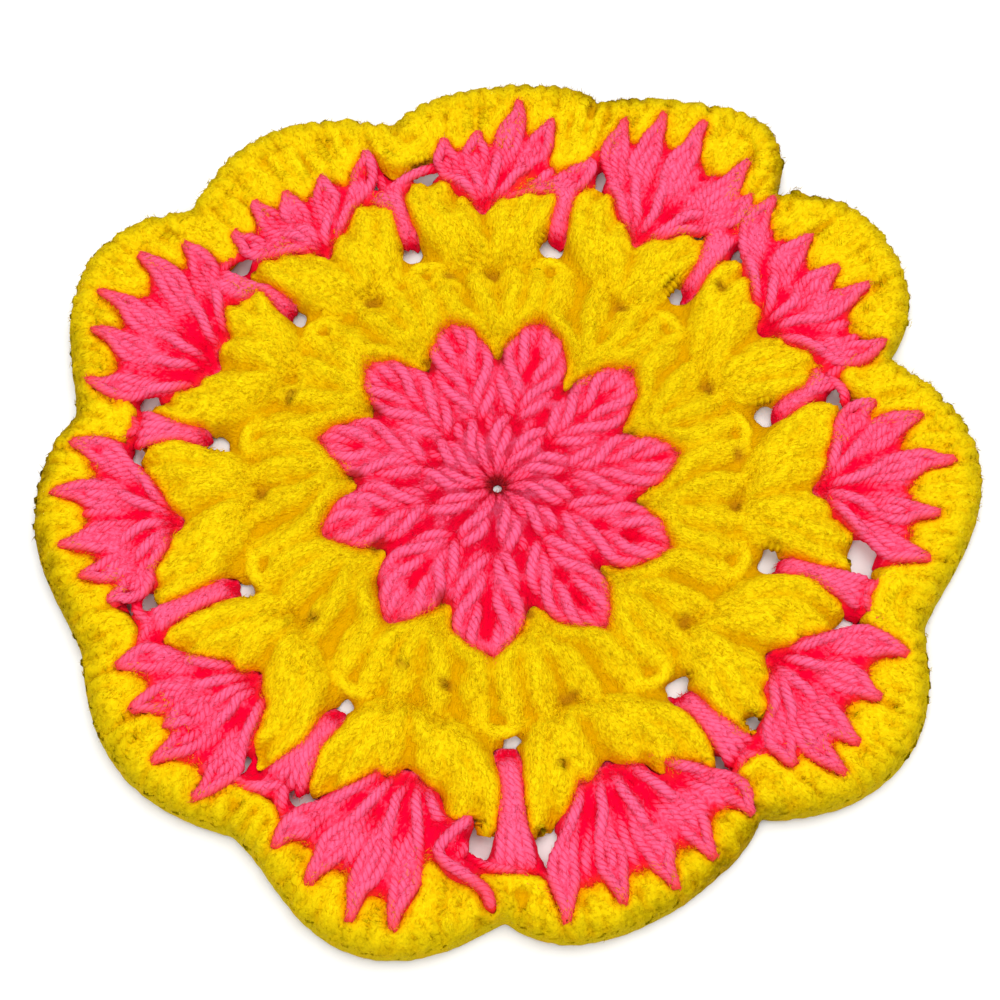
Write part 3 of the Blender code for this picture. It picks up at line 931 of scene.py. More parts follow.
@lru_cache
def strand_heights(is_pink):
    """How high the strands of one yarn stand, in each cell of the grid."""
    strands = yarn_strands(is_pink)
    points = np.vstack([strand.points for strand in strands])
    radius = np.concatenate([strand.radius for strand in strands])[:, None, None]
    cells = np.rint((points[:, :2] + GRID_HALF) / GRID_STEP).astype(int)
    reach = int(radius.max() / GRID_STEP) + 1
    beside, above = np.meshgrid(np.arange(-reach, reach + 1), np.arange(-reach, reach + 1))
    column = cells[:, 0, None, None] + beside
    row = cells[:, 1, None, None] + above
    across = column * GRID_STEP - GRID_HALF - points[:, 0, None, None]
    away = row * GRID_STEP - GRID_HALF - points[:, 1, None, None]
    room = radius**2 - across**2 - away**2
    height = points[:, 2, None, None] + np.sqrt(np.maximum(room, 0.0))
    inside = room > 0
    heights = np.zeros((CELLS, CELLS))
    np.maximum.at(heights, (row[inside], column[inside]), height[inside])
    return heights


def soften(field, width):
    """A grid blurred over a width."""
    reach = int(2 * width / GRID_STEP)
    kernel = np.exp(-0.5 * (np.arange(-reach, reach + 1) * GRID_STEP / width) ** 2)
    kernel /= kernel.sum()
    for _ in range(2):
        field = np.array([np.convolve(row, kernel, mode="same") for row in field]).T
    return field


@lru_cache
def fleece_level(width):
    """The level of the strands, evened out over a width, with dips where there are few."""
    heights = np.maximum(strand_heights(True), strand_heights(False))
    filled = (heights > 0).astype(float)
    return soften(heights, width) / np.maximum(soften(filled, width), 0.5)


NEXT_CELLS = ((1, 0), (-1, 0), (0, 1), (0, -1))
CROWN_REACH = 4
CROWN_BLUR = 1.4


@lru_cache
def crown_level(is_pink):
    """The level of the highest strands of one yarn near each cell, evened out."""
    crown = strand_heights(is_pink)
    for shift in NEXT_CELLS * CROWN_REACH:
        crown = np.maximum(crown, np.roll(crown, shift, axis=(0, 1)))
    return soften(crown, CROWN_BLUR)


def highest_crown():
    """The level of the highest strands of either yarn near each cell."""
    return np.maximum(crown_level(True), crown_level(False))


@lru_cache
def presence(is_pink):
    """How much of one yarn shows near each cell, from 0 to 1."""
    own, other = strand_heights(is_pink), strand_heights(not is_pink)
    return soften(((own > other) & (own > 0)).astype(float), 1.0)


def read_grid(field, points):
    """A grid's values at points, between its cells too."""
    place = np.clip((points[:, :2] + GRID_HALF) / GRID_STEP, 0, CELLS - 1.001)
    low = place.astype(int)
    across, away = (place - low).T
    column, row = low.T
    near = field[row, column] * (1 - across) + field[row, column + 1] * across
    far = field[row + 1, column] * (1 - across) + field[row + 1, column + 1] * across
    return near * (1 - away) + far * away


OUTLINE_STEPS = 441


@lru_cache
def outline_rays():
    """The outline's bearings, in radians, and radii from the eyelet, all the way round."""
    offset = outline(np.linspace(0.0, COUNT, OUTLINE_STEPS))[:, :2] - EYELET
    return np.unwrap(np.arctan2(offset[:, 1], offset[:, 0])), np.linalg.norm(offset, axis=1)


def from_edge(points):
    """How far inside the outline points lie."""
    offset = points[:, :2] - EYELET
    angles, radii = outline_rays()
    angle = np.arctan2(offset[:, 1], offset[:, 0])
    angle = angles[0] + np.mod(angle - angles[0], 2 * math.pi)
    return np.interp(angle, angles, radii) - np.linalg.norm(offset, axis=1)


@lru_cache
def from_eyelet():
    """How far each cell lies from the eyelet."""
    return on_grid(np.linalg.norm(grid_places() - EYELET, axis=1))


def blot(middle, width, depth, random):
    """The cells in an uneven oval, whose depth lies towards the eyelet."""
    offset = grid_places() - middle
    outward = (middle - EYELET) / np.linalg.norm(middle - EYELET)
    out = offset @ outward / (depth / 2)
    beside = offset @ np.array([-outward[1], outward[0]]) / (width / 2)
    turn = np.arctan2(out, beside)
    wobble = 1 + 0.14 * np.sin(3 * turn + random.uniform(0, 6))
    wobble += 0.08 * np.sin(5 * turn + random.uniform(0, 6))
    return on_grid(np.hypot(out, beside) < wobble)


def blots(rows, random):
    """The cells in several ovals, each with its bearing, radius, width and depth."""
    cells = np.zeros((CELLS, CELLS), dtype=bool)
    for angle, radius, width, depth in rows:
        cells |= blot(at_bearing(angle, radius)[:2], width, depth, random)
    return cells


def feathered(cells, width):
    """Cells as a share that fades out over a width round them."""
    return np.clip(1.5 * soften(cells.astype(float), width), 0.0, 1.0)


@lru_cache
def gap_cells():
    """The cells of the open gaps."""
    rows = [(*seen_at(*gap[:2], GAP_HEIGHT), *gap[2:]) for row in GAPS for gap in row]
    return blots(rows, dice("gaps"))


EYELET_RADIUS = 1.1
EYELET_FUNNEL = 2.3

# The seam in each of the star's valleys: how far inside the valley its middle is, its width and depth
VALLEY_SEAM = (2.2, 1.4, 3.4)


@lru_cache
def hole_share():
    """The small holes between the yellow stitches, the star's valleys and the eyelet's funnel."""
    inset, width, depth = VALLEY_SEAM
    valleys = [
        (bearings.star_valley, radii.star_valley - inset, width, depth)
        for bearings, radii in zip(BEARINGS, RADII)
    ]
    holes = blots([*((*row, DIMPLE_DEPTH) for row in DIMPLES), *valleys], dice("holes"))
    return feathered(holes | (from_eyelet() < EYELET_FUNNEL), 0.5)


CREASE_PITCH = 3.5
CREASE_WIDTH = 0.9
CREASE_LENGTHS = (4.5, 8.0)


@lru_cache
def crease_share():
    """The creases between the border's stitches, from the leaves' tips out to the rim."""
    random = dice("creases")
    creases = np.zeros((CELLS, CELLS), dtype=bool)
    tips = [tip for index in range(COUNT) for tip in leaf_tips(index)]
    for (low, reach), (high, _) in zip(tips, tips[1:] + tips[:1]):
        span = (high - low) % TURN
        parts = max(2, round(math.radians(span) * EDGE_RING / CREASE_PITCH))
        for part in range(parts):
            angle = (low + span * part / parts + random.normal(0.0, 0.4)) % TURN
            outer = edge_radius(angle) - 0.8
            inner = reach if part == 0 else outer - random.uniform(*CREASE_LENGTHS)
            inner = min(inner, outer - 3.0)
            creases |= blots([(angle, (inner + outer) / 2, CREASE_WIDTH, outer - inner)], random)
    return feathered(creases, 0.45)


@lru_cache
def furrow_share():
    """The furrows between neighbouring strands under the fleece."""
    return np.clip(1.1 * (fleece_level(1.6) - fleece_level(0.45)), 0.0, 1.0)


FLEECE_INSET = 0.5


@lru_cache
def cloth_cover():
    """The cells that the cloth covers: all inside the rim but the gaps and the eyelet."""
    inside = on_grid(from_edge(grid_places()) > FLEECE_INSET)
    return inside & ~gap_cells() & (from_eyelet() > EYELET_RADIUS)


# How far in from the outline the rim's painted shade reaches, and the least darkness of that shade all
# round
RIM_WIDTH = 8.5
LEAST_RIM_SHADE = 0.25

# The bearings at which the rim curls down away from the light and its painted shade is darker, each with
# the half width of the stretch
DARK_STRETCHES = ((182.0, 20.0), (77.0, 8.0), (300.0, 9.0), (47.0, 8.0))


def painted_rim_shade(points):
    """How dark the rim's painted shade is at points, from 0 to 1."""
    angle = np.degrees(np.arctan2(points[:, 1] - EYELET[1], points[:, 0] - EYELET[0]))
    dusk = np.full(len(points), LEAST_RIM_SHADE)
    for middle, half in DARK_STRETCHES:
        away = (angle - middle + TURN / 2) % TURN - TURN / 2
        dusk += (1 - LEAST_RIM_SHADE) * np.exp(-((away / half) ** 2))
    return np.clip(dusk, 0.0, 1.0)


# Each yarn's fleece, with True for pink: the side of its cells, how far its level is evened out, how
# much it fills up to the crests, how far it is lifted, and the depth at which its painted shade is
# darkest
Fleece = namedtuple("Fleece", "step blur fill lift deep")
FLEECES = {True: Fleece(0.95, 0.9, 0.15, -0.45, 1.8), False: Fleece(0.66, 0.5, 0.1, 0.12, 2.7)}


# How far under the crests the painted shade between the strands begins, how much creases and furrows
# deepen that painted shade, and how soon the other yarn counts as near for the painted shadow and glow
# beside it
OPEN_DEPTH = 0.3
CREASE_SHADE = 0.5
FURROW_SHADE = 0.25
NEARNESS = 2.0


def surroundings(points, is_pink):
    """What the painted shade in a point's colour depends on, each from 0 to 1: how deep it lies between
    the strands, how near the other yarn is, whether it is in a hole, and how far out it is on the rim
    and how dark the rim's painted shade is there.
    """
    depth = read_grid(crown_level(is_pink), points) - OPEN_DEPTH - points[:, 2]
    creased = 0.0
    if not is_pink:
        creased = CREASE_SHADE * read_grid(crease_share(), points)
        creased = creased + FURROW_SHADE * read_grid(furrow_share(), points)
    return {
        "sunk": np.clip(depth / FLEECES[is_pink].deep + creased, 0.0, 1.0),
        "beside": np.clip(NEARNESS * read_grid(presence(not is_pink), points), 0.0, 1.0),
        "hole": read_grid(hole_share(), points),
        "rim": np.clip(1 - from_edge(points) / RIM_WIDTH, 0.0, 1.0),
        "dusk": painted_rim_shade(points),
    }


def strand_frame(points):
    """The direction along a strand, a direction near upwards and one to the right, at each ring."""
    along = unit(np.gradient(points, axis=0))
    upward = UP - along * along[:, 2:3]
    steep = np.linalg.norm(upward, axis=1) < 0.15
    upward[steep] = np.array([1.0, 0.0, 0.0]) - along[steep] * along[steep, 0:1]
    upward = unit(upward)
    return along, upward, np.cross(along, upward)


PLIES = 4
COLUMNS = 2 * PLIES
END_WIDTH = 0.55
END_LENGTH = 0.35

# A quad's corners, as steps along the rings and the columns
QUAD_CORNERS = ((0, 0), (0, 1), (1, 1), (1, 0))


def tube(strand, groove):
    """A strand's points, quads and end triangles, and the maps of its plies for both. The rings of
    points have crests and grooves that go round the strand once a lay.
    """
    along, upward, right = strand_frame(strand.points)
    travelled, lay = travelled_along(strand.points), sizes().lay / MM
    laid = travelled / lay
    turned = -2 * math.pi * travelled / lay
    columns = np.arange(COLUMNS)
    angle = (2 * math.pi * columns[None, :] / COLUMNS + turned[:, None])[:, :, None]
    depth = np.where(columns % 2 == 0, 1.0 - groove, 1.0 + groove * 0.25)
    reach = strand.radius[:, None] * depth[None, :]
    reach[[0, -1]] *= END_WIDTH
    reach = reach[:, :, None]
    rings = strand.points[:, None, :] + upward[:, None, :] * (reach * np.cos(angle))
    rings = rings + right[:, None, :] * (reach * np.sin(angle))
    tips = [
        strand.points[0] - along[0] * strand.radius[0] * END_LENGTH,
        strand.points[-1] + along[-1] * strand.radius[-1] * END_LENGTH,
    ]
    ring, column = np.meshgrid(np.arange(len(rings) - 1), columns, indexing="ij")
    quads = [(ring + up) * COLUMNS + (column + on) % COLUMNS for up, on in QUAD_CORNERS]
    ply = PLIES / COLUMNS
    quad_map = [np.stack([(column + on) * ply, laid[ring + up]], axis=-1) for up, on in QUAD_CORNERS]
    nexts = (columns + 1) % COLUMNS
    last, tip = (len(rings) - 1) * COLUMNS, len(rings) * COLUMNS
    head = np.stack([np.full(COLUMNS, tip), nexts, columns], axis=1)
    foot = np.stack([np.full(COLUMNS, tip + 1), last + columns, last + nexts], axis=1)
    ends = [np.stack([(columns + 0.5) * ply, np.full(COLUMNS, end)], axis=1) for end in laid[[0, -1]]]
    return (
        np.vstack([rings.reshape(-1, 3), *tips]),
        np.stack(quads, axis=-1).reshape(-1, 4),
        np.vstack([head, foot]),
        np.stack(quad_map, axis=2).reshape(-1, 2),
        np.repeat(np.vstack(ends), 3, axis=0),
    )


def mesh_from(name, points, *faces, corner_map=None, values=None):
    """A mesh from points in millimetres and arrays of faces, with a column for each corner."""
    mesh = bpy.data.meshes.new(name)
    mesh.vertices.add(len(points))
    mesh.vertices.foreach_set("co", (np.asarray(points) * MM).astype(np.float32).ravel())
    corners = np.concatenate([each.ravel() for each in faces]).astype(np.int32)
    mesh.loops.add(len(corners))
    mesh.loops.foreach_set("vertex_index", corners)
    counts = np.concatenate([np.full(len(each), each.shape[1]) for each in faces])
    mesh.polygons.add(len(counts))
    mesh.polygons.foreach_set("loop_start", (np.cumsum(counts) - counts).astype(np.int32))
    mesh.update(calc_edges=True)
    if corner_map is not None:
        layer = mesh.uv_layers.new(name="plies")
        layer.data.foreach_set("uv", corner_map.astype(np.float32).ravel())
    for label, numbers in (values or {}).items():
        attribute = mesh.attributes.new(label, "FLOAT", "POINT")
        attribute.data.foreach_set("value", np.asarray(numbers, dtype=np.float32))
    mesh.validate()
    mesh.shade_smooth()
    return mesh


def dress(name, mesh, finish, is_pink, *nodes):
    """A piece of the pot holder: its mesh with its yarn's finish, riding on the body."""
    mesh.materials.append(yarn_material(finish, is_pink))
    piece = bpy.data.objects.new(name, mesh)
    bpy.context.collection.objects.link(piece)
    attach(piece, BODY)
    if nodes:
        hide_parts(*nodes)
    return piece


def work_strands(name, *nodes):
    """Makes one round's piece out of its strands."""
    is_pink = ROUNDS[name].is_pink
    groove = sizes().pink_groove if is_pink else sizes().yellow_groove
    parts, first = [], 0
    for strand in strands_of(name):
        points, quads, triangles, *maps = tube(strand, groove)
        parts.append((points, quads + first, triangles + first, *maps))
        first += len(points)
    points, quads, triangles, *maps = (np.vstack(each) for each in zip(*parts))
    values = surroundings(points, is_pink)
    mesh = mesh_from(name, points, quads, triangles, corner_map=np.vstack(maps), values=values)
    dress(name, mesh, "plied", is_pink, *nodes)


FUZZ_SIDES = 3
FUZZ_FACES = np.array([[0, 1, 3], [1, 2, 3], [2, 0, 3], [2, 1, 0]])
MOST_BURIED = 2.5
ROOT_DEPTH = 0.93
LOWEST_TIP = 0.3
FIBRES = {True: 30000, False: 45000}


def work_fuzz(name, is_pink):
    """Loose fibres that lie along the strands and stand a little off them: slim closed spikes, set by
    chance.
    """
    random, count = dice(name), FIBRES[is_pink]
    strands = yarn_strands(is_pink)
    bases = np.vstack([strand.points for strand in strands])
    radii = np.concatenate([strand.radius for strand in strands])
    frames = [strand_frame(strand.points) for strand in strands]
    alongs, ups, rights = (np.vstack(each) for each in zip(*frames))
    pick = random.integers(0, len(bases), count)
    angle = random.normal(0.0, 0.9, count)
    normal = ups[pick] * np.cos(angle)[:, None] + rights[pick] * np.sin(angle)[:, None]
    around = np.cross(alongs[pick], normal)
    root = bases[pick] + normal * (radii[pick] * ROOT_DEPTH)[:, None]
    root += alongs[pick] * random.uniform(-0.4, 0.4, count)[:, None]
    buried = read_grid(fleece_top(is_pink), root) - root[:, 2]
    root[:, 2] += np.clip(buried, 0.0, MOST_BURIED)
    direction = normal * random.uniform(0.05, 0.55, count)[:, None]
    direction += alongs[pick] * random.choice([-1.0, 1.0], count)[:, None]
    direction += around * random.normal(0.0, 0.7, count)[:, None]
    direction = unit(direction)
    length = sizes().fuzz_length / MM * random.uniform(0.45, 1.0, count)
    width = sizes().fuzz_width / MM * random.uniform(0.6, 1.0, count)
    tip = root + direction * length[:, None]
    tip[:, 2] = np.maximum(tip[:, 2], LOWEST_TIP)
    across = unit(np.cross(direction, normal))
    over = np.cross(across, direction)
    corners = []
    for side in range(FUZZ_SIDES):
        turned = 2 * math.pi * side / FUZZ_SIDES
        ring = across * math.cos(turned) + over * math.sin(turned)
        corners.append(root - direction * 0.2 + ring * (width / 2)[:, None])
    points = np.stack([*corners, tip], axis=1).reshape(-1, 3)
    triangles = (np.arange(count)[:, None, None] * 4 + FUZZ_FACES).reshape(-1, 3)
    values = surroundings(np.repeat(root, 4, axis=0), is_pink)
    values["shade"] = np.repeat(random.uniform(0.0, 1.0, count), 4)
    dress(name, mesh_from(name, points, triangles, values=values), "loose", is_pink)


# The fleece's edge runs where its share of the neighbourhood is this, and it is thin in a band inside it
FLEECE_EDGE = 0.47
EDGE_BAND = 0.42
LEAST_THICKNESS = 0.6
LOW_SIDE = 0.15
MOST_HOLLOW = 1.6
TOP_SHAKE = 0.08
DOMINANCE = {True: (0.005, 0.02), False: (0.02, 0.005)}


@lru_cache
def fleece_field(is_pink):
    """How much of each cell's neighbourhood is cloth of one yarn, from 0 to 1."""
    near, beside = (
        soften((strand_heights(each) > strand_heights(not each)).astype(float), 0.8)
        + bias * soften((strand_heights(each) > strand_heights(not each)).astype(float), 3.0)
        for each, bias in zip((is_pink, not is_pink), DOMINANCE[is_pink])
    )
    mine = near > beside if is_pink else near >= beside
    return soften((cloth_cover() & mine).astype(float), 0.5)


def joined_cells(field, step):
    """The cells of a coarser grid that lie in a field, with none that touch by a corner alone."""
    ticks = np.arange(-GRID_HALF + 2, GRID_HALF - 2, step)
    middles = ticks[:-1] + step / 2
    across, away = np.meshgrid(middles, middles)
    places = np.stack([across.ravel(), away.ravel()], axis=1)
    kept = (read_grid(field, places) > FLEECE_EDGE).reshape(across.shape)
    kept[[0, -1]] = False
    kept[:, [0, -1]] = False
    beside = np.zeros_like(kept)
    for shift in NEXT_CELLS:
        beside |= np.roll(kept, shift, axis=(0, 1))
    kept &= beside
    for _ in range(2):
        low, high = kept[:-1, :-1] & kept[1:, 1:], kept[:-1, 1:] & kept[1:, :-1]
        low &= ~kept[:-1, 1:] & ~kept[1:, :-1]
        high &= ~kept[:-1, :-1] & ~kept[1:, 1:]
        kept[:-1, 1:] |= low
        kept[:-1, :-1] |= high
    return ticks, kept


def snapped(places, field, most):
    """Places moved onto the edge of a field, by no more than a distance."""
    moved = places.copy()
    nudge = GRID_STEP / 2
    for _ in range(4):
        value = read_grid(field, moved) - FLEECE_EDGE
        rises = [
            read_grid(field, moved + offset) - read_grid(field, moved - offset)
            for offset in np.array([[nudge, 0.0], [0.0, nudge]])
        ]
        slope = np.stack(rises, axis=1) / (2 * nudge)
        steep = np.maximum((slope**2).sum(axis=1), 0.02)
        moved -= slope * (value / steep)[:, None]
        drift = moved - places
        length = np.maximum(np.linalg.norm(drift, axis=1, keepdims=True), 1e-9)
        moved = places + drift * np.minimum(1.0, most / length)
    return moved


# The yellow fleece over the border: where it begins, over how much it changes, how far its level is
# evened out and lifted inside the rim, and how deep its creases are
BORDER_INNER = 76.0
BORDER_FADE = 4.0
BORDER_BLUR = 0.5
BORDER_LIFT = -0.2
RIM_BAND = 5.0
CREASE_DEPTH = 0.5

DEEPEST = 2.3
LOWEST_LEVEL = 1.6
LUMP_WIDTH = 0.9
LUMP_HEIGHT = 1.6


@lru_cache
def fleece_top(is_pink):
    """The level of one yarn's fleece in each cell: between that of the strands under it and that of
    their crests, with lumps and dips.
    """
    fleece = FLEECES[is_pink]
    inside = on_grid(from_edge(grid_places()))
    outer = np.clip((from_eyelet() - BORDER_INNER) / BORDER_FADE, 0.0, 1.0) * (not is_pink)
    level = fleece_level(fleece.blur)
    level = level + (fleece_level(BORDER_BLUR) - level) * outer
    fill = fleece.fill * np.clip((inside - 1.0) / 3.0, 0.0, 1.0) * (1 - outer)
    lumps = soften(dice("lumps").normal(0.0, LUMP_HEIGHT, (CELLS, CELLS)), LUMP_WIDTH)
    top = level + (highest_crown() - level) * fill + lumps + fleece.lift
    if not is_pink:
        top = top + BORDER_LIFT * (outer * np.clip(inside - RIM_BAND, 0.0, 1.0))
        top = np.maximum(top, highest_crown() - DEEPEST) - CREASE_DEPTH * crease_share()
    dips = soften(gap_cells().astype(float), 1.2) + 0.7 * hole_share()
    return np.maximum(top * (1 - 0.25 * np.clip(dips, 0.0, 1.0)), LOWEST_LEVEL)


def fleece_heights(places, is_pink, random):
    """The heights of the fleece's upper and lower side at places, rounded off towards its edges."""
    field = read_grid(fleece_field(is_pink), places)
    cover = np.clip(read_grid(soften(cloth_cover().astype(float), 0.5), places) * 2 - 1, 0.0, 1.0)
    top = read_grid(fleece_top(is_pink), places)
    hollow = highest_crown() - fleece_level(FLEECES[is_pink].blur)
    low = LOW_SIDE + np.clip(0.7 * read_grid(hollow, places), 0.0, MOST_HOLLOW)
    inside = np.clip((field - FLEECE_EDGE) / EDGE_BAND, 0.0, 1.0)
    rounding = np.sqrt(1 - (1 - inside) ** 2)
    upper_edge = top * (0.55 + 0.3 * cover)
    lower_edge = low + (top * 0.35 - low) * (1 - 0.7 * cover)
    upper = upper_edge + (top - upper_edge) * rounding + random.normal(0.0, TOP_SHAKE, len(places))
    lower = lower_edge + (low - lower_edge) * rounding
    return upper, np.minimum(lower, upper - LEAST_THICKNESS)


def work_fleece(name, is_pink):
    """The matted fleece of one yarn, inside and between its strands: a closed mesh on a level grid,
    whose upper side follows the strands and whose lower side mirrors them. Gives its flat area too.
    """
    field = fleece_field(is_pink)
    step = FLEECES[is_pink].step
    ticks, kept = joined_cells(field, step)
    around = np.zeros((len(ticks), len(ticks)), dtype=int)
    for row, column in QUAD_CORNERS:
        around[row : row + len(kept), column : column + len(kept)] += kept
    rows, columns = np.nonzero(around)
    index = np.full(around.shape, -1)
    index[rows, columns] = np.arange(len(rows))
    places = np.stack([ticks[columns], ticks[rows]], axis=1)
    edge = around[rows, columns] < 4
    places[edge] = snapped(places[edge], field, 0.8 * step)
    sides = fleece_heights(places, is_pink, dice(name))
    points = np.vstack([np.column_stack([places, side]) for side in sides])
    row, column = np.nonzero(kept)
    top = np.stack([index[row + up, column + on] for up, on in QUAD_CORNERS], axis=1)
    count = len(places)
    quads = [top, top[:, ::-1] + count]
    for side, (up, on) in enumerate(((-1, 0), (0, 1), (1, 0), (0, -1))):
        open_side = ~kept[row + up, column + on]
        start, end = top[open_side, side], top[open_side, (side + 1) % 4]
        quads.append(np.stack([end, start, start + count, end + count], axis=1))
    mesh = mesh_from(name, points, np.vstack(quads), values=surroundings(points, is_pink))
    return dress(name, mesh, "matted", is_pink), float(kept.sum()) * (step * MM) ** 2


def feed(tree, socket, value):
    """Links a node's output to a socket, or sets a number or colour on it."""
    if isinstance(value, bpy.types.NodeSocket):
        tree.links.new(value, socket)
    elif isinstance(value, (int, float)):
        socket.default_value = value
    else:
        socket.default_value = (*value[:3], 1.0)


def add_node(tree, kind, inputs, output=0, **settings):
    """A new node's output, with its settings made and its inputs, by name or number, linked or set."""
    node = tree.nodes.new(f"ShaderNode{kind}")
    for name, value in settings.items():
        setattr(node, name, value)
    for name, value in inputs.items():
        feed(tree, node.inputs[name], value)
    return node.outputs[output]


def math_node(tree, operation, *values, clamp=False):
    """A Math node's output."""
    return add_node(tree, "Math", dict(enumerate(values)), operation=operation, use_clamp=clamp)


def times(tree, first, second, clamp=False):
    """The product of two values."""
    return math_node(tree, "MULTIPLY", first, second, clamp=clamp)


def plus(tree, first, second, clamp=False):
    """The sum of two values."""
    return math_node(tree, "ADD", first, second, clamp=clamp)


def less(tree, first, second):
    """The difference of two values."""
    return math_node(tree, "SUBTRACT", first, second)


def mix(tree, share, first, second):
    """A colour between two others."""
    return add_node(tree, "Mix", {0: share, 6: first, 7: second}, 2, data_type="RGBA")


def noise(tree, where, scale, detail, roughness=0.5):
    """A Noise texture's value."""
    inputs = {"Vector": where, "Scale": scale, "Detail": detail, "Roughness": roughness}
    return add_node(tree, "TexNoise", inputs)


def spread(tree, value, low, high, **settings):
    """A value stretched so that low becomes 0 and high becomes 1."""
    return add_node(tree, "MapRange", {"Value": value, "From Min": low, "From Max": high}, **settings)


def held(tree, name):
    """A number that the mesh holds at each point."""
    return add_node(tree, "Attribute", {}, "Fac", attribute_name=name)


def parts_of(tree, vector):
    """A vector's three parts."""
    return add_node(tree, "SeparateXYZ", {0: vector}).node.outputs


def joined(tree, *parts):
    """A vector out of its parts."""
    return add_node(tree, "CombineXYZ", dict(enumerate(parts)))


def bump(tree, shader, height, strength, distance):
    """Roughens a shader's surface by a height."""
    inputs = {"Strength": strength, "Distance": distance, "Height": height}
    feed(tree, shader.inputs["Normal"], add_node(tree, "Bump", inputs))


def plies(tree, inlet):
    """Where the grooves between the plies run, and how high the plies stand."""
    around = math_node(tree, "FRACT", parts_of(tree, inlet["Plies"])["X"])
    to_groove = less(tree, 0.5, math_node(tree, "ABSOLUTE", less(tree, around, 0.5)))
    line = {"Value": to_groove, "From Max": inlet["Line"], "To Min": 1.0, "To Max": 0.0}
    return {
        "Groove": add_node(tree, "MapRange", line, interpolation_type="SMOOTHSTEP"),
        "Height": math_node(tree, "SINE", times(tree, to_groove, math.pi)),
    }


def fibres(tree, inlet):
    """Fine streaks of fibre along the plies, from dark to light."""
    plies_map = parts_of(tree, inlet["Plies"])
    across = plus(tree, plies_map["X"], times(tree, plies_map["Y"], inlet["Slant"]))
    across = times(tree, across, inlet["Around"])
    where = joined(tree, across, times(tree, plies_map["Y"], inlet["Along"]))
    return {"Streak": spread(tree, noise(tree, where, 1.0, 3.0, 0.65), 0.3, 0.7)}


def dye(tree, inlet):
    """The yarn's colour: its dye in the open, painted shade between the strands, a painted shadow and
    glow beside the other yarn, and painted shade on the rim.
    """
    body = mix(tree, inlet["Depth"], inlet["Open"], inlet["Deep"])
    close = times(tree, math_node(tree, "POWER", inlet["Closeness"], 1.4), 0.85)
    return {"Color": mix(tree, inlet["Edge"], mix(tree, close, body, inlet["Beside"]), inlet["Rim"])}


# Each effect that several materials share: what works it out, then its inputs and outputs by kind
GROUPS = {
    "yarn_plies": (plies, {"Vector": ("Plies",), "Float": ("Line",)}, {"Float": ("Groove", "Height")}),
    "yarn_fibres": (
        fibres, {"Vector": ("Plies",), "Float": ("Around", "Along", "Slant")}, {"Float": ("Streak",)}
    ),
    "yarn_dye_and_shade": (
        dye,
        {"Color": ("Open", "Deep", "Beside", "Rim"), "Float": ("Depth", "Closeness", "Edge")},
        {"Color": ("Color",)},
    ),
}


def group_of(name):
    """A shader node group with named inputs and outputs, built once."""
    group = bpy.data.node_groups.get(name)
    if group:
        return group
    group = bpy.data.node_groups.new(name, "ShaderNodeTree")
    work, *sockets = GROUPS[name]
    for direction, kinds in zip(("INPUT", "OUTPUT"), sockets):
        for kind, labels in kinds.items():
            for label in labels:
                group.interface.new_socket(label, in_out=direction, socket_type=f"NodeSocket{kind}")
    inlet = group.nodes.new("NodeGroupInput")
    outlet = group.nodes.new("NodeGroupOutput")
    for label, value in work(group, inlet.outputs).items():
        feed(group, outlet.inputs[label], value)
    return group


def place_group(tree, name, **inputs):
    """A group's node in a material, with its inputs linked or set: its outputs."""
    return add_node(tree, "Group", inputs, node_tree=group_of(name)).node.outputs


def object_place(tree):
    """The place of a point on the pot holder."""
    return add_node(tree, "TexCoord", {}, "Object")


# The scales of the patches and specks in the rim's painted shade, and how much painted shade darkens a
# hole
PATCHES = 260.0
SPECKS = 1100.0
HOLE_SHADE = 0.8


def dyed_and_shaded(tree, is_pink, depth):
    """The colour for one yarn: its dye, with painted shade to a depth, in holes and on the rim, and a
    painted shadow and glow beside the other yarn, from the mesh's own values.
    """
    colours = bpy.context.scene.pot_holder_colours
    where = object_place(tree)
    # Painted shade on the rim's outer side: mottled in patches, and darker at specks and where the rim
    # curls down away from the light
    patches = plus(tree, times(tree, noise(tree, where, PATCHES, 2.0), 2.2), -0.1)
    specks = spread(tree, noise(tree, where, SPECKS, 2.0), 0.38, 0.62)
    edge = spread(tree, held(tree, "rim"), 0.2, 1.0, interpolation_type="SMOOTHSTEP")
    edge = times(tree, edge, patches, clamp=True)
    dark = plus(tree, times(tree, less(tree, 1.0, specks), 0.6), 0.65)
    dusk = times(tree, held(tree, "dusk"), dark)
    mixed = place_group(
        tree,
        "yarn_dye_and_shade",
        Open=dye_and_shade_of(is_pink),
        Deep=dye_and_shade_of(is_pink, "_deep"),
        Beside=dye_and_shade_of(is_pink, "_beside"),
        Rim=mix(tree, dusk, colours.rim, colours.rim_deep),
        Depth=depth,
        Closeness=held(tree, "beside"),
        Edge=0.0 if is_pink else edge,
    )
    # Painted shade in the holes between stitches, the star's valleys and the eyelet's funnel
    hole = times(tree, held(tree, "hole"), HOLE_SHADE)
    return mix(tree, hole, mixed["Color"], dye_and_shade_of(is_pink, "_seam"))


# With True for pink: how wide the grooves between the plies are and how dark the painted shade in them
# is, and the power and share of the depth on the fleece, which sets its painted shade
PLY_GROOVES = {True: (0.20, 0.34), False: (0.12, 0.10)}
MATTED = {True: (1.0, 1.0), False: (1.3, 0.8)}


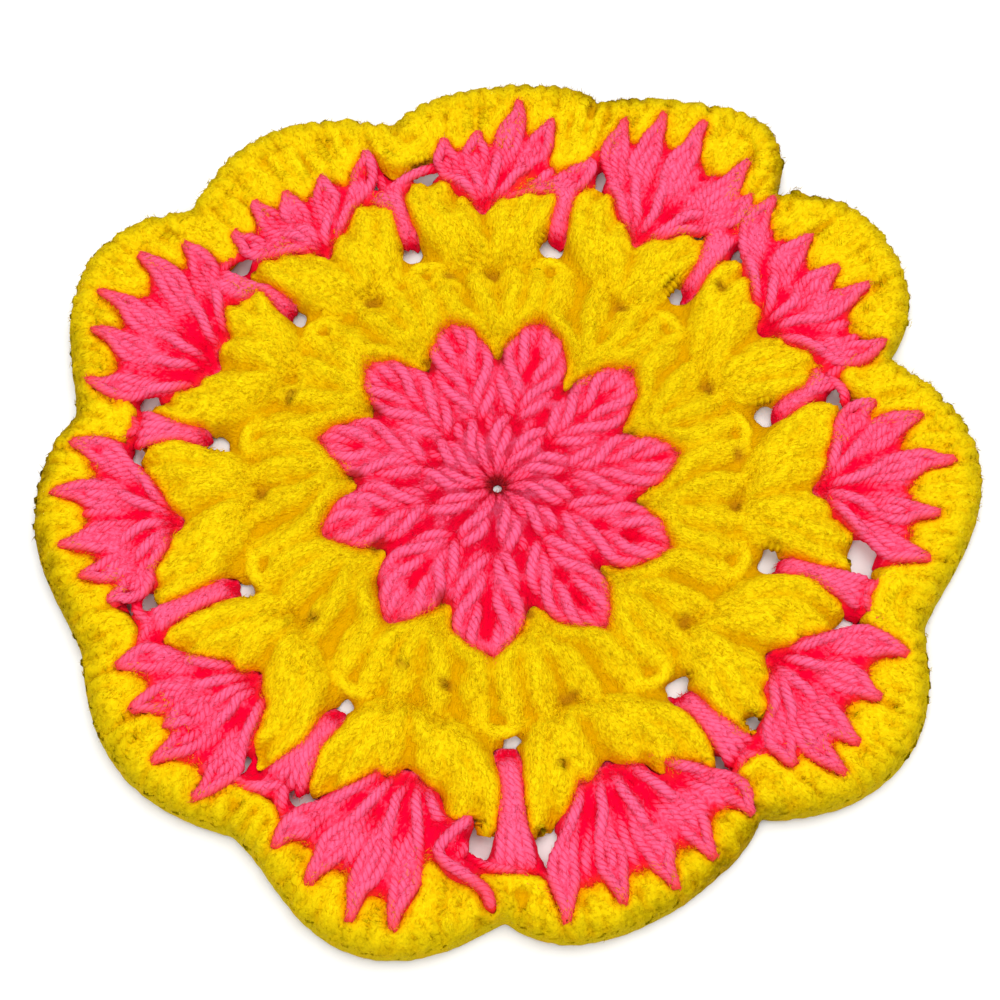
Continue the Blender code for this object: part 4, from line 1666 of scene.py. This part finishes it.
def plied_depth(tree, shader, is_pink):
    """How deep the painted shade is on a strand: between the strands, in the grooves between its plies
    and between fine streaks of fibre.
    """
    line, groove_shade = PLY_GROOVES[is_pink]
    plies_map = add_node(tree, "UVMap", {}, uv_map="plies")
    grooves = place_group(tree, "yarn_plies", Plies=plies_map, Line=line)
    streaks = place_group(tree, "yarn_fibres", Plies=plies_map, Around=9.0, Along=5.0, Slant=0.4)
    streak = streaks["Streak"]
    height = plus(tree, times(tree, grooves["Height"], 0.6), times(tree, streak, 0.5))
    bump(tree, shader, height, 0.7, 0.25 * MM)
    # Painted shade: between the strands by depth, in the grooves between the plies, and between the
    # fibre streaks
    sunk = math_node(tree, "POWER", held(tree, "sunk"), 1.3)
    groove = times(tree, grooves["Groove"], groove_shade)
    dark = times(tree, less(tree, 1.0, streak), 0.45)
    return plus(tree, plus(tree, sunk, groove), dark, clamp=True)


def loose_depth(tree, shader, is_pink):
    """How deep the painted shade between the strands is on loose fibres, with some fibres lighter and
    some darker than their strand at random.
    """
    sunk = math_node(tree, "POWER", held(tree, "sunk"), 1.5)
    return plus(tree, sunk, times(tree, held(tree, "shade"), 0.7), clamp=True)


STREAKS_ROUND = 130.0
STREAKS_OUT = 850.0


def radial_streaks(tree):
    """Short fibres that lie outwards from the eyelet, as the stitches do, from dark to light."""
    place = parts_of(tree, object_place(tree))
    across = less(tree, place["X"], EYELET[0] * MM)
    away = less(tree, place["Y"], EYELET[1] * MM)
    turn = times(tree, math_node(tree, "ARCTAN2", away, across), STREAKS_ROUND)
    square = plus(tree, times(tree, across, across), times(tree, away, away))
    out = times(tree, math_node(tree, "SQRT", square), STREAKS_OUT)
    where = joined(tree, turn, out, times(tree, place["Z"], STREAKS_OUT))
    return spread(tree, noise(tree, where, 1.0, 3.0), 0.32, 0.68)


def matted_depth(tree, shader, is_pink):
    """How deep the painted shade is on the fleece: in its hollows and between its short fibres."""
    tangle = spread(tree, noise(tree, object_place(tree), 1300.0, 3.0), 0.35, 0.65)
    light = plus(tree, times(tree, tangle, 0.4), times(tree, radial_streaks(tree), 0.6))
    bump(tree, shader, light, 0.9, 0.4 * MM)
    # Painted shade in the fleece's hollows by depth, and between its fibres
    power, share = MATTED[is_pink]
    sunk = times(tree, math_node(tree, "POWER", held(tree, "sunk"), power), share)
    return plus(tree, sunk, times(tree, less(tree, 1.0, light), 0.65), clamp=True)


FINISHES = {"plied": plied_depth, "loose": loose_depth, "matted": matted_depth}

# The matt finish of acrylic yarn, whose faint gloss has the yarn's own colour
MATT = {"Roughness": 0.92, "Specular IOR Level": 0.1, "Sheen Weight": 0.08, "Sheen Roughness": 0.5}


def new_material(name):
    """An empty node material, with its node tree and its Principled shader."""
    material = bpy.data.materials.new(name)
    material.use_nodes = True
    return material, material.node_tree, material.node_tree.nodes["Principled BSDF"]


def yarn_material(finish, is_pink):
    """One yarn as plied strands, loose fibres or matted fleece, made once."""
    name = f"{finish}_{'pink' if is_pink else 'yellow'}"
    material = bpy.data.materials.get(name)
    if material:
        return material
    material, tree, shader = new_material(name)
    depth = FINISHES[finish](tree, shader, is_pink)
    feed(tree, shader.inputs["Base Color"], dyed_and_shaded(tree, is_pink, depth))
    for label, value in MATT.items():
        shader.inputs[label].default_value = value
    for label in ("Specular Tint", "Sheen Tint"):
        shader.inputs[label].default_value = (*dye_and_shade_of(is_pink), 1.0)
    return material


class POTHOLDER_OT_star(bpy.types.Operator):
    """Works the pink star: the first round and the pairs of stitches that make its points"""

    bl_idname = "pot_holder.star"
    bl_label = "Work Star"

    def execute(self, context):
        work_strands("inner_round")
        work_strands("star_round", "centre_star")
        return {"FINISHED"}


class POTHOLDER_OT_yellow_rounds(bpy.types.Operator):
    """Works the two yellow rounds, which spread into lobes"""

    bl_idname = "pot_holder.yellow_rounds"
    bl_label = "Work Yellow Rounds"

    def execute(self, context):
        work_strands("eye_round")
        work_strands("lobe_round", "yellow_rounds")
        return {"FINISHED"}


class POTHOLDER_OT_shells(bpy.types.Operator):
    """Works the pink shells, with the posts and chains between them"""

    bl_idname = "pot_holder.shells"
    bl_label = "Work Shells"

    def execute(self, context):
        work_strands("shell_stitches", "shell_round")
        work_strands("post_stitches")
        return {"FINISHED"}


class POTHOLDER_OT_border(bpy.types.Operator):
    """Works the yellow border: the tongues between the leaves, and the rim"""

    bl_idname = "pot_holder.border"
    bl_label = "Work Border"

    def execute(self, context):
        work_strands("border_tongues", "border_round")
        work_strands("rim_wraps")
        return {"FINISHED"}


class POTHOLDER_OT_loose_end(bpy.types.Operator):
    """Lays the loose end of pink yarn over the border"""

    bl_idname = "pot_holder.loose_end"
    bl_label = "Lay Loose End"

    def execute(self, context):
        work_strands("loose_end", "yarn_tail")
        return {"FINISHED"}


class POTHOLDER_OT_fuzz(bpy.types.Operator):
    """Raises the loose fibres on both yarns"""

    bl_idname = "pot_holder.fuzz"
    bl_label = "Raise Fuzz"

    def execute(self, context):
        work_fuzz("pink_fibres", True)
        work_fuzz("yellow_fibres", False)
        return {"FINISHED"}


class POTHOLDER_OT_fleece(bpy.types.Operator):
    """Fills in the matted fleece inside and between the strands"""

    bl_idname = "pot_holder.fleece"
    bl_label = "Fill Fleece"

    def execute(self, context):
        work_fleece("pink_fleece", True)
        piece, area = work_fleece("yellow_fleece", False)
        return {"FINISHED"}


class POTHOLDER_OT_stage(bpy.types.Operator):
    """Sets the camera, lights, pale floor and plain sky"""

    bl_idname = "pot_holder.stage"
    bl_label = "Set Stage"

    def execute(self, context):
        set_camera()
        for name, light in LIGHTS.items():
            area_light(name, *light)
        set_sky()
        set_floor()
        context.scene.view_settings.view_transform = "Standard"
        return {"FINISHED"}


CAMERA_LENS = 71.46
CAMERA_SHIFT = (0.003, -0.018)
SENSOR_WIDTH = 36.0

# Each light's place, side and power
LIGHTS = {"overhead": ((0.15, 0.25, 0.9), 0.9, 8.5), "front": ((-0.25, -0.55, 0.75), 0.5, 4.0)}
SKY_STRENGTH = 0.42
WHITE = (1.0, 1.0, 1.0, 1.0)
PALE_GREY = (0.86, 0.86, 0.86, 1.0)
FLOOR_ROUGHNESS = 0.8


def set_camera():
    """The camera at the photograph's angle, aimed at the eyelet's upper face."""
    stage = bpy.context.scene.pot_holder_stage
    data = bpy.data.cameras.new("camera")
    data.lens = CAMERA_LENS
    data.sensor_width = SENSOR_WIDTH
    data.shift_x, data.shift_y = CAMERA_SHIFT
    camera = bpy.data.objects.new("camera", data)
    eyelet = Vector((*EYELET, READ_HEIGHT)) * MM
    back = Vector((0.0, -math.cos(stage.elevation), math.sin(stage.elevation)))
    camera.location = eyelet + back * stage.distance
    camera.rotation_euler = (math.pi / 2 - stage.elevation, 0.0, 0.0)
    bpy.context.collection.objects.link(camera)
    bpy.context.scene.camera = camera


def area_light(name, place, size, power):
    """A soft square light that faces the middle of the pot holder."""
    data = bpy.data.lights.new(name, "AREA")
    data.size = size
    data.energy = power
    light = bpy.data.objects.new(name, data)
    light.location = place
    light.rotation_euler = (-Vector(place)).to_track_quat("-Z", "Y").to_euler()
    bpy.context.collection.objects.link(light)


def set_sky():
    """A plain pale sky."""
    world = bpy.data.worlds.new("sky")
    world.use_nodes = True
    background = world.node_tree.nodes["Background"]
    background.inputs["Color"].default_value = WHITE
    background.inputs["Strength"].default_value = SKY_STRENGTH
    bpy.context.scene.world = world


def set_floor():
    """The plain pale floor."""
    side = bpy.context.scene.pot_holder_stage.floor_size
    corners = np.array([(-1, -1, 0), (1, -1, 0), (1, 1, 0), (-1, 1, 0)]) * side / 2 / MM
    mesh = mesh_from("floor", corners, np.array([[0, 1, 2, 3]]))
    material, _, shader = new_material("floor")
    shader.inputs["Base Color"].default_value = PALE_GREY
    shader.inputs["Roughness"].default_value = FLOOR_ROUGHNESS
    mesh.materials.append(material)
    floor = bpy.data.objects.new("floor", mesh)
    bpy.context.collection.objects.link(floor)


class POTHOLDER_PT_panel(bpy.types.Panel):
    """Lists the pot holder's sizes, colours and steps"""

    bl_idname = "POTHOLDER_PT_panel"
    bl_label = "Pot Holder"
    bl_space_type = "VIEW_3D"
    bl_region_type = "UI"
    bl_category = "Crochet"

    def draw(self, context):
        for label in SETTINGS:
            settings = getattr(context.scene, label)
            box = self.layout.box()
            for name in settings.__annotations__:
                box.prop(settings, name)
        for step in STEPS:
            self.layout.operator(step.bl_idname)


STEPS = (
    POTHOLDER_OT_stage,
    POTHOLDER_OT_star,
    POTHOLDER_OT_yellow_rounds,
    POTHOLDER_OT_shells,
    POTHOLDER_OT_border,
    POTHOLDER_OT_loose_end,
    POTHOLDER_OT_fuzz,
    POTHOLDER_OT_fleece,
)
SETTINGS = {
    "pot_holder_sizes": YarnSizes,
    "pot_holder_colours": YarnColours,
    "pot_holder_stage": StageSettings,
}
CLASSES = (*SETTINGS.values(), *STEPS, POTHOLDER_PT_panel)


def register():
    """Registers the settings, steps and panel."""
    for each in CLASSES:
        bpy.utils.register_class(each)
    for label, settings in SETTINGS.items():
        setattr(bpy.types.Scene, label, PointerProperty(type=settings))


def unregister():
    """Takes the settings, steps and panel out again."""
    for label in SETTINGS:
        delattr(bpy.types.Scene, label)
    for each in reversed(CLASSES):
        bpy.utils.unregister_class(each)


def main():
    """Works the whole pot holder."""
    register()
    for step in STEPS:
        namespace, name = step.bl_idname.split(".")
        getattr(getattr(bpy.ops, namespace), name)()


if __name__ == "__main__":
    main()
